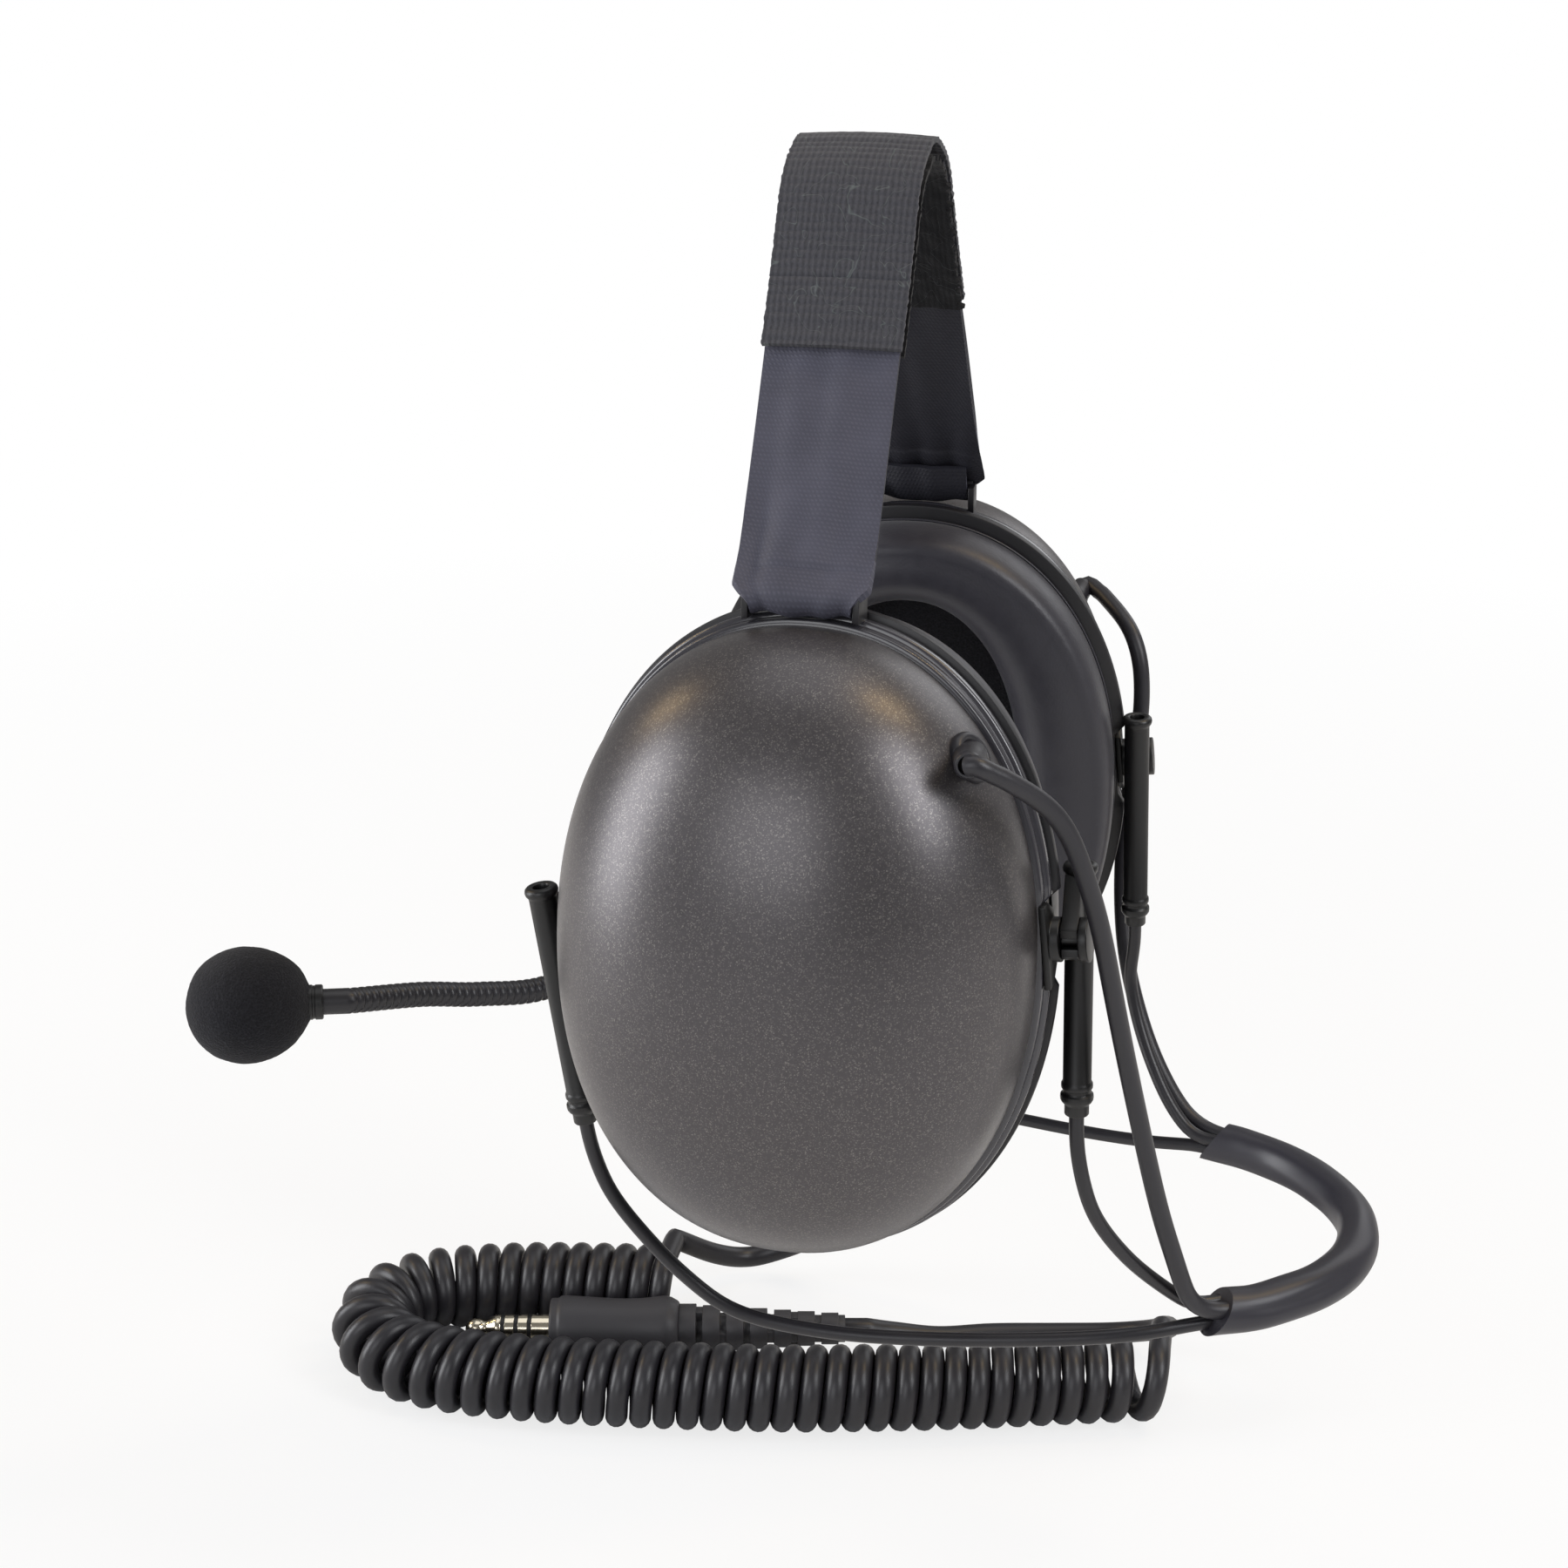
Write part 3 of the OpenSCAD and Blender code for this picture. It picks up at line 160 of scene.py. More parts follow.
OVAL = 2.16           # power of the rim's oval
DOME = 2.2            # power of the dome's profile
DOME_RISE = 2.9       # how far the dome's top sits above its middle
CUP_Y, CUP_Z, CUP_FWD = 48.4, 0.8, 1.05
CUP_LEAN, CUP_TOE, CUP_LIFT = 5.4, 3.5, 2.0
PLATE_T, GROOVE, BAND, SEAM = 2.0, 1.4, 4.8, 0.6
LIP_Y = PLATE_T + GROOVE + BAND + SEAM
LIP_IN = 2.8
PIVOT_SPAN, PIVOT_SLOPE, PIN_OUT, PIN_AFT = 47.9, 6.2, 3.0, 0.56
SPOOL_D, BARREL_D = 8.0, 5.2
PLATE_X = 43.35       # plane of the flats under the brackets, in the pivot frame
BARREL_UP, BARREL_DOWN = 12.0, 36.2
SPLAY = {FRONT: 2.2, REAR: -4.2}
LEAN = {FRONT: -1.5, REAR: 3.0}
BARREL_OFF = SPOOL_D / 2 + BARREL_D / 2 + 0.3
GROUND = -175.0
BAR_Y, BAR_Z, BAR_D = PLATE_T + GROOVE + BAND - 0.2, 62.4, 3.0
STRAP_SKEW, STRAP_FWD, STRAP_BULGE, ARCH = 0.03, 1.4, 1.5, 11.0


def turn(degrees, axis):
    return Matrix.Rotation(math.radians(degrees), 4, axis)


def shift(x, y, z):
    return Matrix.Translation((x, y, z))


def cup_frame(side):
    """A cup's own frame: x rearward, y outboard, z up, from the middle of its rim."""
    place = shift(-CUP_FWD, side * CUP_Y, CUP_Z - side * CUP_LIFT)
    if side == LEFT:
        place = place @ Matrix.Scale(-1, 4, (0, 1, 0))
    return place @ turn(CUP_TOE, "Z") @ turn(CUP_LEAN, "X")


def pivot_frame(side):
    return cup_frame(side) @ turn(-CUP_LEAN, "X") @ shift(PIN_AFT, PIN_OUT, 0) @ turn(-PIVOT_SLOPE, "Y")


def spool_frame(side, end):
    return pivot_frame(side) @ shift(end * PIVOT_SPAN, 0, 0)


def clip_frame(side, end):
    return spool_frame(side, end) @ turn(LEAN[end], "X")


def barrel_frame(side, end):
    return clip_frame(side, end) @ shift(0, -end * BARREL_OFF, 0) @ turn(-SPLAY[end], "Y")


def aimed(origin, direction):
    """A frame at origin whose z runs along direction, turned as little as it can be."""
    d = Vector(direction).normalized()
    tilt = math.degrees(math.acos(max(-1.0, min(1.0, d.z))))
    return shift(*origin) @ turn(math.degrees(math.atan2(d.y, d.x)), "Z") @ turn(tilt, "Y")


def metres(point):
    return tuple(MM * c for c in point)


def wobble(*at):
    """Noise from -1 to 1 that depends on three numbers."""
    return noise.noise(Vector(at))


def clamped(share):
    """A share kept between 0 and 1."""
    return max(0.0, min(1.0, share))


# ---- lines ----

def spline(points, steps):
    """A smooth line through points, with that many steps between each two."""
    p = [Vector(q) for q in points]
    p = [2 * p[0] - p[1]] + p + [2 * p[-1] - p[-2]]
    line = []
    for a, b, c, d in zip(p, p[1:], p[2:], p[3:]):
        for k in range(steps):
            t = k / steps
            line.append(b + 0.5 * t * (c - a + t * (2 * a - 5 * b + 4 * c - d + t * (3 * (b - c) + d - a))))
    return line + [p[-2]]


def distances(line):
    """How far along the line each of its points is."""
    along = [0.0]
    for a, b in zip(line, line[1:]):
        along.append(along[-1] + (b - a).length)
    return along


def at_distance(line, along, s):
    """The point at that distance along a line, whose own distances are along."""
    i = max(1, next((k for k, d in enumerate(along) if d >= s), len(line) - 1))
    share = (s - along[i - 1]) / max(1e-9, along[i] - along[i - 1])
    return line[i - 1].lerp(line[i], clamped(share))


def even(line, gap):
    """The line again with its points about gap apart."""
    along = distances(line)
    count = max(2, round(along[-1] / gap))
    return [at_distance(line, along, along[-1] * k / count) for k in range(count + 1)]


def softened(line, reach):
    """The line with each point at the middle of its neighbours, both ends left where they are."""
    found = []
    for i in range(len(line)):
        span = min(reach, i, len(line) - 1 - i)
        near = line[i - span:i + span + 1]
        found.append(sum(near, Vector()) / len(near))
    return found


def headings(line):
    """The direction of a line at each of its points."""
    ends = [line[0]] + list(line) + [line[-1]]
    return [(c - a).normalized() for a, c in zip(ends, ends[2:])]


def frames_along(line):
    """At each point of a line, its heading and a side vector that turns as little as it can."""
    side, found = Vector((0, 0, 1)), []
    for ahead in headings(line):
        side = (side - side.dot(ahead) * ahead).normalized()
        found.append((ahead, side))
    return found


# ---- meshes ----

SHARP = 38.0          # degrees from which an edge is shown sharp


def dressed(mesh, name, look, sharp):
    """An object of a mesh in one finish, smooth but for its sharp edges."""
    piece = bpy.data.objects.new(name, mesh)
    bpy.context.scene.collection.objects.link(piece)
    mesh.materials.clear()
    mesh.materials.append(finish(look))
    mesh.shade_smooth()
    mesh.set_sharp_from_angle(angle=math.radians(sharp))
    return piece


def ended(bm, name):
    """Turns a bmesh into a mesh."""
    mesh = bpy.data.meshes.new(name)
    bm.to_mesh(mesh)
    bm.free()
    return mesh


def made(bm, name, look, place=Matrix.Identity(4), sharp=SHARP):
    """Ends a bmesh drawn in millimetres in the frame place, and makes its object."""
    bm.transform(METRES @ place)
    if place.determinant() < 0:
        bmesh.ops.reverse_faces(bm, faces=bm.faces[:])
    return dressed(ended(bm, name), name, look, sharp)


def joined(bm, other):
    """Adds another bmesh to the first."""
    mesh = ended(other, "joined")
    bm.from_mesh(mesh)
    bpy.data.meshes.remove(mesh)


def facing_out(bm):
    """Turns the faces of a closed bmesh outward."""
    bmesh.ops.recalc_face_normals(bm, faces=bm.faces[:])
    return bm


def corners_of(grown):
    """The vertices of what an operator made."""
    return [g for g in grown["geom"] if isinstance(g, bmesh.types.BMVert)]


def walled(piece, thickness, offset, sharp=SHARP):
    """Gives a piece of one skin its thickness, and makes that part of its mesh."""
    wall = piece.modifiers.new("wall", "SOLIDIFY")
    wall.thickness, wall.offset = thickness * MM, offset
    bpy.context.view_layer.update()
    seen = bpy.context.evaluated_depsgraph_get()
    mesh = bpy.data.meshes.new_from_object(
        piece.evaluated_get(seen), preserve_all_data_layers=True, depsgraph=seen)
    piece.modifiers.clear()
    piece.data = mesh
    mesh.shade_smooth()
    mesh.set_sharp_from_angle(angle=math.radians(sharp))
    return piece


def slotted(nodes):
    """Hides the CAD nodes that a piece stands for."""
    if nodes:
        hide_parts(*nodes)


def settled(piece, body, slot, *nodes):
    """A piece that rides on one body and stands for CAD nodes, which are hidden; its slot is not used."""
    slotted(nodes)
    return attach(piece, body)


def fitted(bm, name, look, place, body, slot, *nodes, sharp=SHARP):
    """Makes a rigid piece and settles it."""
    return settled(made(bm, name, look, place, sharp), body, slot, *nodes)


def bent(piece, a, b, start, end, slot, *nodes):
    """A piece that stands for CAD nodes, which are hidden, with its place baked into its mesh; its bodies a and b,
    start, end and slot are not used.
    """
    slotted(nodes)
    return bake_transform(piece)


def turned(profile, steps=64, closed=False):
    """A profile of (radius, height) spun round the z axis."""
    bm = bmesh.new()
    verts = [bm.verts.new((r, 0, h)) for r, h in profile]
    edges = [bm.edges.new(pair) for pair in zip(verts, verts[1:])]
    if closed:
        edges.append(bm.edges.new((verts[-1], verts[0])))
    bmesh.ops.spin(bm, geom=verts + edges, cent=(0, 0, 0), axis=(0, 0, 1), angle=math.tau, steps=steps,
                   use_merge=True)
    bmesh.ops.remove_doubles(bm, verts=bm.verts[:], dist=1e-4)
    return facing_out(bm)


def oval(t, inset, narrow=0.0):
    """The point of the rim's oval at angle t, that far inside the rim and narrower, as (x, z)."""
    def part(value):
        return math.copysign(abs(value) ** (2 / OVAL), value)
    half_w, half_h = chosen("cup", "rim_width") / 2, chosen("cup", "rim_height") / 2
    return (half_w - inset - narrow) * part(math.cos(t)), (half_h - inset) * part(math.sin(t))


SPUN = 100.0          # radius of the circle that stands for the rim while a profile is spun


def oval_turned(profile, steps=192, narrow=lambda inset: 0.0):
    """A closed profile of (inset from the rim, distance outboard) run round the oval."""
    bm = turned([(SPUN - inset, y) for inset, y in profile], steps, closed=True)
    for v in bm.verts:
        inset = SPUN - math.hypot(v.co.x, v.co.y)
        x, z = oval(math.atan2(v.co.y, v.co.x), inset, narrow(inset))
        v.co = (x, v.co.z, z)
    return facing_out(bm)


def oval_capped(profile, inset, steps=192):
    """A profile of (share of the oval at that inset, distance outboard) spun and stretched."""
    bm = turned(profile, steps)
    for v in bm.verts:
        share = math.hypot(v.co.x, v.co.y)
        x, z = oval(math.atan2(v.co.y, v.co.x), inset)
        v.co = (x * share, v.co.z, z * share)
    return facing_out(bm)


def swept(line, ring, steps):
    """An open skin round a line. ring(i, angle) gives (along, radius) for each corner of a ring."""
    bm = bmesh.new()
    aims = frames_along(line)

    def corner(i, k):
        ahead, side = aims[i]
        angle = math.tau * k / steps
        along, radius = ring(i, angle)
        return line[i] + along * ahead + radius * (math.cos(angle) * side + math.sin(angle) * ahead.cross(side))

    loop = bmesh.ops.create_circle(bm, segments=steps, radius=1.0)["verts"]
    for k, v in enumerate(loop):
        v.co = corner(0, k)
    edges = bm.edges[:]
    place = {v: k for k, v in enumerate(loop)}
    for i in range(1, len(line)):
        grown = bmesh.ops.extrude_edge_only(bm, edges=edges)
        fresh = set(corners_of(grown))
        edges = [g for g in grown["geom"] if isinstance(g, bmesh.types.BMEdge) and fresh.issuperset(g.verts)]
        found = {v: next(place[e.other_vert(v)] for e in v.link_edges if e.other_vert(v) in place) for v in fresh}
        for v, k in found.items():
            v.co = corner(i, k)
        place = found
    return facing_out(bm)


def tube(name, line, diameter, look, sides=16, girths=None):
    """A round bar along a line of points in millimetres, as a mesh."""
    curve = bpy.data.curves.new(name + "_line", "CURVE")
    curve.dimensions = "3D"
    curve.bevel_depth = diameter / 2 * MM
    curve.bevel_resolution = (sides - 4) // 2
    curve.use_fill_caps = True
    run = curve.splines.new("POLY")
    run.points.add(len(line) - 1)
    for i, (point, spot) in enumerate(zip(line, run.points)):
        spot.co = (*metres(point), 1.0)
        spot.radius = girths[i] if girths else 1.0
    bar = bpy.data.objects.new(name + "_line", curve)
    bpy.context.scene.collection.objects.link(bar)
    bpy.context.view_layer.update()
    mesh = bpy.data.meshes.new_from_object(bar.evaluated_get(bpy.context.evaluated_depsgraph_get()))
    bpy.data.objects.remove(bar)
    bpy.data.curves.remove(curve)
    return dressed(mesh, name, look, sharp=50.0)


def rounded(bm, angle, offset):
    """Breaks the edges sharper than angle by a small round."""
    edges = [e for e in bm.edges if len(e.link_faces) == 2 and e.calc_face_angle(0.0) > math.radians(angle)]
    bmesh.ops.bevel(bm, geom=edges, offset=offset, offset_type="OFFSET", affect="EDGES",
                    segments=2, profile=0.5, material=-1, clamp_overlap=True)


def from_frame(node, name, look, edge):
    """A copy of a CAD node's mesh, merged and with its corners broken by a small round."""
    bm = bmesh.new()
    bm.from_mesh(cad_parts[node].data)
    bmesh.ops.remove_doubles(bm, verts=bm.verts[:], dist=2e-6)
    bmesh.ops.dissolve_limit(bm, angle_limit=math.radians(1.5), verts=bm.verts[:], edges=bm.edges[:])
    rounded(bm, SHARP, edge * MM)
    return dressed(ended(bm, name), name, look, SHARP)


def keep(node, look):
    """A CAD node that stays as it is, in a better finish."""
    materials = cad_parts[node].data.materials
    materials.clear()
    materials.append(finish(look))


# ---- materials ----

def add(tree, kind, values):
    """Adds a node. values are its properties and sockets: a value, a node whose first output
    is linked, or a node with the name or number of the output that is."""
    node = tree.nodes.new("ShaderNode" + kind)
    for key, value in values.items():
        linked = isinstance(value, tuple) and isinstance(value[0], bpy.types.Node)
        source, output = value if linked else (value, 0)
        if isinstance(source, bpy.types.Node):
            tree.links.new(source.outputs[output], node.inputs[key])
        elif isinstance(key, str) and hasattr(node, key):
            setattr(node, key, value)
        else:
            node.inputs[key].default_value = value
    return node


# The sockets of a node that mixes colours: its share, its two colours and its result
SHARE, LOW, HIGH, MIXED = 0, 6, 7, 2
WAVE = math.tau / 20  # a wave texture's period at a scale of 1


def started(name):
    """A new empty material and its nodes."""
    material = bpy.data.materials.new(name)
    material.use_nodes = True
    material.node_tree.nodes.clear()
    return material, material.node_tree


def in_millimetres(tree, squeeze=(1, 1, 1)):
    """Object coordinates counted in millimetres, which may be squeezed."""
    place = add(tree, "TexCoord", {})
    return add(tree, "Mapping", {"Scale": tuple(c / MM for c in squeeze), "Vector": (place, "Object")})


def on_cloth(tree, squeeze=(1, 1, 1), turned_by=0.0):
    """Millimetres across and along a strip of cloth."""
    place = add(tree, "Attribute", {"attribute_name": "cloth"})
    return add(tree, "Mapping", {"Scale": squeeze, "Rotation": (0, 0, math.radians(turned_by)),
                                 "Vector": (place, "Vector")})


def shaded(tree, shade, height, strength, depth, values):
    """Ends a material: a colour and a height up to depth millimetres, its shader and output."""
    bump = add(tree, "Bump", {"Strength": strength, "Distance": depth * MM, "Height": height})
    shader = add(tree, "BsdfPrincipled", {"Base Color": (shade, MIXED), "Normal": bump, **values})
    add(tree, "OutputMaterial", {"Surface": shader})


def darker(colour, share):
    """A colour at that share of its strength."""
    return tuple(c * share for c in colour[:3]) + (1.0,)


def between(colour, low, high, share):
    """What a node needs to go from a darker colour to a lighter one by its share."""
    return {"data_type": "RGBA", LOW: darker(colour, low), HIGH: darker(colour, high), SHARE: share}


def grained(name, colour, roughness, grain, depth, mottle=0.12, patch=9.0, spread=0.08,
            stretch=(1, 1, 1), **values):
    """A moulded or extruded finish. grain is the size of its fine texture, depth the height
    of that texture and patch the size of its patches of colour and gloss, all in millimetres."""
    material, tree = started(name)
    place = in_millimetres(tree, stretch)
    patches = add(tree, "TexNoise", {"Scale": 1 / patch, "Detail": 4.0, "Vector": place})
    fine = add(tree, "TexNoise", {"Scale": 1 / grain, "Detail": 3.0, "Vector": place})
    shade = add(tree, "Mix", between(colour, 1 - mottle, 1 + mottle, patches))
    gloss = add(tree, "MapRange", {"To Min": max(0.05, roughness - spread),
                                   "To Max": min(1.0, roughness + spread), "Value": patches})
    shaded(tree, shade, fine, 1.0, depth, {"Roughness": gloss, **values})
    return material


def flake_paint():
    """Metallic flake paint on moulded ABS: a satin grey-brown coat, alive with fine bright
    specks, over a faint orange peel."""
    material, tree = started("flake_paint_on_abs")
    place = in_millimetres(tree)
    # Flakes of 0.05 mm don't show, so they are drawn 0.2 mm across
    flakes = add(tree, "TexVoronoi", {"Scale": 1 / 0.2, "Randomness": 1.0, "Vector": place})
    lit = add(tree, "MapRange", {"From Min": 0.66, "From Max": 1.0, "To Max": 0.42, "Value": (flakes, "Color")})
    coarse = add(tree, "TexNoise", {"Scale": 1 / 0.9, "Detail": 2.0, "Vector": place})
    tone = add(tree, "Mix", between(chosen("cup", "paint"), 0.86, 1.12, coarse))
    shade = add(tree, "Mix", {"data_type": "RGBA", LOW: (tone, MIXED), HIGH: linear("#a6a29b"), SHARE: lit})
    peel = add(tree, "TexNoise", {"Scale": 1 / 1.3, "Detail": 2.0, "Vector": place})
    rough = add(tree, "MapRange", {"To Min": 0.30, "To Max": 0.44, "Value": coarse})
    relief = add(tree, "Math", {"operation": "MULTIPLY_ADD", 0: flakes, 1: 0.35, 2: peel})
    shaded(tree, shade, relief, 1.0, 0.012,
           {"Roughness": rough, "Metallic": 0.6, "Coat Weight": 0.12, "Coat Roughness": 0.3})
    return material


def leatherette():
    """Polyurethane leatherette, heat-formed over foam: pebble grain, soft satin shine and
    fine creases where it stretches."""
    material, tree = started("polyurethane_leatherette")
    place = in_millimetres(tree)
    # Pebbles of leatherette are 0.5 mm across
    pebble = add(tree, "TexVoronoi", {"feature": "SMOOTH_F1", "Scale": 1 / 0.55, "Smoothness": 0.6,
                                      "Vector": place})
    crease = add(tree, "TexNoise", {"Scale": 1 / 3.2, "Detail": 5.0, "Distortion": 0.6, "Vector": place})
    shade = add(tree, "Mix", between(chosen("cup", "leather"), 0.85, 1.15, crease))
    rough = add(tree, "MapRange", {"To Min": 0.34, "To Max": 0.52, "Value": crease})
    height = add(tree, "Math", {"operation": "MULTIPLY_ADD", 0: pebble, 1: 0.35, 2: crease})
    shaded(tree, shade, height, 0.8, 0.07, {"Roughness": rough, "Sheen Weight": 0.12, "Sheen Roughness": 0.4})
    return material


def twill_web():
    """Polyester webbing, woven in a fine twill: dark slate with a soft sheen, and diagonal
    lines that show where the light skims it."""
    material, tree = started("polyester_twill_webbing")
    colour = chosen("strap", "web")
    # The threads are 0.35 mm apart and are drawn 0.7 mm apart to show
    twill = add(tree, "TexWave", {"Scale": WAVE / 0.7, "Distortion": 0.5, "Detail": 1.0, "Detail Scale": 2.0,
                                  "Vector": on_cloth(tree, turned_by=28.0)})
    warp = add(tree, "TexWave", {"bands_direction": "Y", "Scale": WAVE / 0.8, "Distortion": 0.3,
                                 "Vector": on_cloth(tree)})
    weave = add(tree, "Math", {"operation": "MULTIPLY", 0: (twill, "Fac"), 1: (warp, "Fac")})
    worn = add(tree, "TexNoise", {"Scale": 0.11, "Detail": 4.0, "Vector": on_cloth(tree)})
    mixed = add(tree, "Math", {"operation": "MULTIPLY_ADD", 0: weave, 1: 0.55, 2: worn})
    shade = add(tree, "Mix", between(colour, 0.72, 1.22, mixed))
    # The face towards the head is painted darker: a painted shade for the shadow that this face lies in
    place = add(tree, "TexCoord", {})
    facing, spot = (add(tree, "SeparateXYZ", {"Vector": (place, output)}) for output in ("Normal", "Object"))
    outward = add(tree, "Math", {"operation": "MULTIPLY", 0: (facing, "Y"), 1: (spot, "Y")})
    painted_shade_side = add(tree, "Math", {"operation": "LESS_THAN", 0: outward, 1: 0.0})
    shade = add(tree, "Mix", {"data_type": "RGBA", LOW: (shade, MIXED), HIGH: darker(colour, 0.3), SHARE: painted_shade_side})
    shaded(tree, shade, weave, 0.7, 0.09, {"Roughness": 0.6, "Specular IOR Level": 0.25, "Sheen Weight": 0.12,
                                           "Sheen Roughness": 0.4, "Sheen Tint": linear("#8d8d9c")})
    return material


def loop_cloth(name, colour, strand_highlight):
    """Knitted hook-and-loop tape: a rough ribbed ground, with stray loops of thread lying across it, drawn in a
    lighter colour that is a painted highlight where they catch the light."""
    material, tree = started(name)
    place = on_cloth(tree)
    knit = add(tree, "TexNoise", {"Scale": 1 / 0.55, "Detail": 4.0, "Roughness": 0.7,
                                  "Vector": on_cloth(tree, (1.6, 1, 1))})
    stitch = add(tree, "TexWave", {"Scale": WAVE / 1.1, "Distortion": 2.2, "Detail": 2.0, "Detail Scale": 1.4,
                                   "Vector": place})
    wander = add(tree, "TexNoise", {"Scale": 1 / 8.0, "Detail": 2.0, "Distortion": 0.9, "Vector": place})
    away = add(tree, "Math", {"operation": "SUBTRACT", 0: wander, 1: 0.5})
    near = add(tree, "Math", {"operation": "ABSOLUTE", 0: away})
    strand = add(tree, "MapRange", {"From Max": 0.006, "To Min": 0.4, "To Max": 0.0, "Value": near})
    mixed = add(tree, "Math", {"operation": "MULTIPLY_ADD", 0: (stitch, "Fac"), 1: 0.35, 2: knit})
    ground = add(tree, "Mix", between(colour, 0.35, 1.75, mixed))
    # The stray loops are real; their lighter colour is a painted highlight
    shade = add(tree, "Mix", {"data_type": "RGBA", LOW: (ground, MIXED), HIGH: strand_highlight, SHARE: strand})
    height = add(tree, "Math", {"operation": "ADD", 0: mixed, 1: strand})
    shaded(tree, shade, height, 0.9, 0.16,
           {"Roughness": 0.85, "Specular IOR Level": 0.15, "Sheen Weight": 0.1, "Sheen Roughness": 0.5})
    return material


def open_foam(name, colour, cell):
    """Reticulated polyurethane foam: matte, pitted with open cells."""
    material, tree = started(name)
    place = in_millimetres(tree)
    cells = add(tree, "TexVoronoi", {"Scale": 1 / cell, "Vector": place})
    dust = add(tree, "TexNoise", {"Scale": 1 / (cell * 0.6), "Detail": 4.0, "Vector": place})
    mixed = add(tree, "Math", {"operation": "MULTIPLY", 0: cells, 1: dust})
    shade = add(tree, "Mix", between(colour, 0.5, 1.9, mixed))
    shaded(tree, shade, mixed, 1.0, cell * 0.5,
           {"Roughness": 0.95, "Specular IOR Level": 0.12, "Sheen Weight": 0.06, "Sheen Roughness": 0.6})
    return material


# The grained finishes: name, colour or its setting, roughness, size and height of the grain
GRAINED = {
    # Injection-moulded ABS with a polished band: near black, clear reflections
    "rim": ("polished_abs", "#343338", 0.22, 0.8, 0.004,
            {"spread": 0.05, "Coat Weight": 0.5, "Coat Roughness": 0.12}),
    # Injection-moulded ABS from a spark-eroded mould: fine matte grain
    "abs": ("moulded_abs", ("cup", "plastic"), 0.42, 0.45, 0.012, {}),
    # Glass-filled nylon: black, with a faint silky grain
    "nylon": ("glass_filled_nylon", "#0a0a0b", 0.4, 0.4, 0.010, {"mottle": 0.2}),
    # PVC coating drawn over spring steel: satin, with a fine grain
    "coat": ("pvc_coated_spring_wire", ("band", "coat"), 0.36, 0.7, 0.012, {"mottle": 0.15}),
    # Extruded PVC cable jacket: satin
    "jacket": ("pvc_cable_jacket", ("band", "jacket"), 0.42, 0.6, 0.012, {}),
    # Polyurethane cord jacket: dull satin, a little dusty
    "cord": ("polyurethane_cord_jacket", ("cord", "jacket"), 0.40, 0.5, 0.012, {"mottle": 0.18, "patch": 6.0}),
    # Soft PVC sleeve: slate, smooth, with broad soft shine
    "sheath": ("soft_pvc_sleeve", ("band", "sheath"), 0.40, 0.9, 0.010, {"mottle": 0.08, "patch": 14.0}),
    # Moulded PVC plug body: matte, from a blasted mould
    "plug": ("moulded_pvc", ("cord", "body"), 0.5, 0.35, 0.018, {"mottle": 0.1}),
    # Nickel-plated brass, polished: pale warm metal with fine turning lines
    "plated": ("plated_brass", ("cord", "plating"), 0.16, 0.25, 0.003,
               {"mottle": 0.04, "spread": 0.04, "stretch": (8, 1, 1), "Metallic": 1.0}),
    # Zinc-plated steel: bright, a little dull
    "steel": ("zinc_plated_steel", "#b9bcc0", 0.3, 0.3, 0.006, {"mottle": 0.06, "Metallic": 1.0}),
    # Brushed aluminium capsule: pale grey, with a soft even shine
    "capsule": ("brushed_aluminium", "#9fa2a6", 0.35, 0.2, 0.006, {"mottle": 0.06, "Metallic": 1.0}),
}
FINISHES = {
    "flake_paint": flake_paint,
    "leatherette": leatherette,
    "web": twill_web,
    # The second colour of each tape is the painted highlight on its stray loops
    "loop": lambda: loop_cloth("nylon_loop_tape", chosen("strap", "loop"), linear("#6d7673")),
    "hook": lambda: loop_cloth("nylon_hook_tape", chosen("strap", "hook"), linear("#34363a")),
    "foam": lambda: open_foam("open_cell_foam", chosen("boom", "foam"), 0.5),
    "grey_foam": lambda: open_foam("grey_acoustic_foam", linear("#5a5c60"), 0.9),
}
MADE_FINISHES = {}


def finish(look):
    """A material of GRAINED or FINISHES, made once."""
    if look in GRAINED and look not in MADE_FINISHES:
        name, colour, *measures, values = GRAINED[look]
        colour = linear(colour) if isinstance(colour, str) else chosen(*colour)
        MADE_FINISHES[look] = grained(name, colour, *measures, **values)
    elif look not in MADE_FINISHES:
        MADE_FINISHES[look] = FINISHES[look]()
    return MADE_FINISHES[look]


# ---- cups ----

FLAT_HALF = 8.3       # half the height of the flats under the brackets
FLAT_FOOT = -28.0     # how low the front flat goes


def flattened(bm, side):
    """Presses a rim piece flat where the brackets sit, and below the front one."""
    into = pivot_frame(side).inverted() @ cup_frame(side)
    back = into.inverted()
    for v in bm.verts:
        p = into @ v.co
        lowest = FLAT_FOOT if p.x < 0 else -FLAT_HALF
        if lowest < p.z < FLAT_HALF and abs(p.x) > PLATE_X:
            p.x = math.copysign(PLATE_X, p.x)
            v.co = back @ p


def shell_bm():
    """The domed shell's outside, from its lip to its top."""
    rows = 44
    angles = [math.pi / 2 * i / rows for i in range(rows + 1)]
    profile = [(math.cos(a) ** (2 / DOME), math.sin(a) ** (2 / DOME)) for a in angles[:-1]] + [(0.0, 1.0)]
    bm = oval_capped(profile, LIP_IN)
    depth = chosen("cup", "dome_depth")
    for v in bm.verts:
        h = v.co.y
        v.co = (v.co.x, LIP_Y + depth * h, v.co.z + DOME_RISE * h)
    bm.normal_update()
    if sum(f.normal.y for f in bm.faces) < 0:
        bmesh.ops.reverse_faces(bm, faces=bm.faces[:])
    return bm


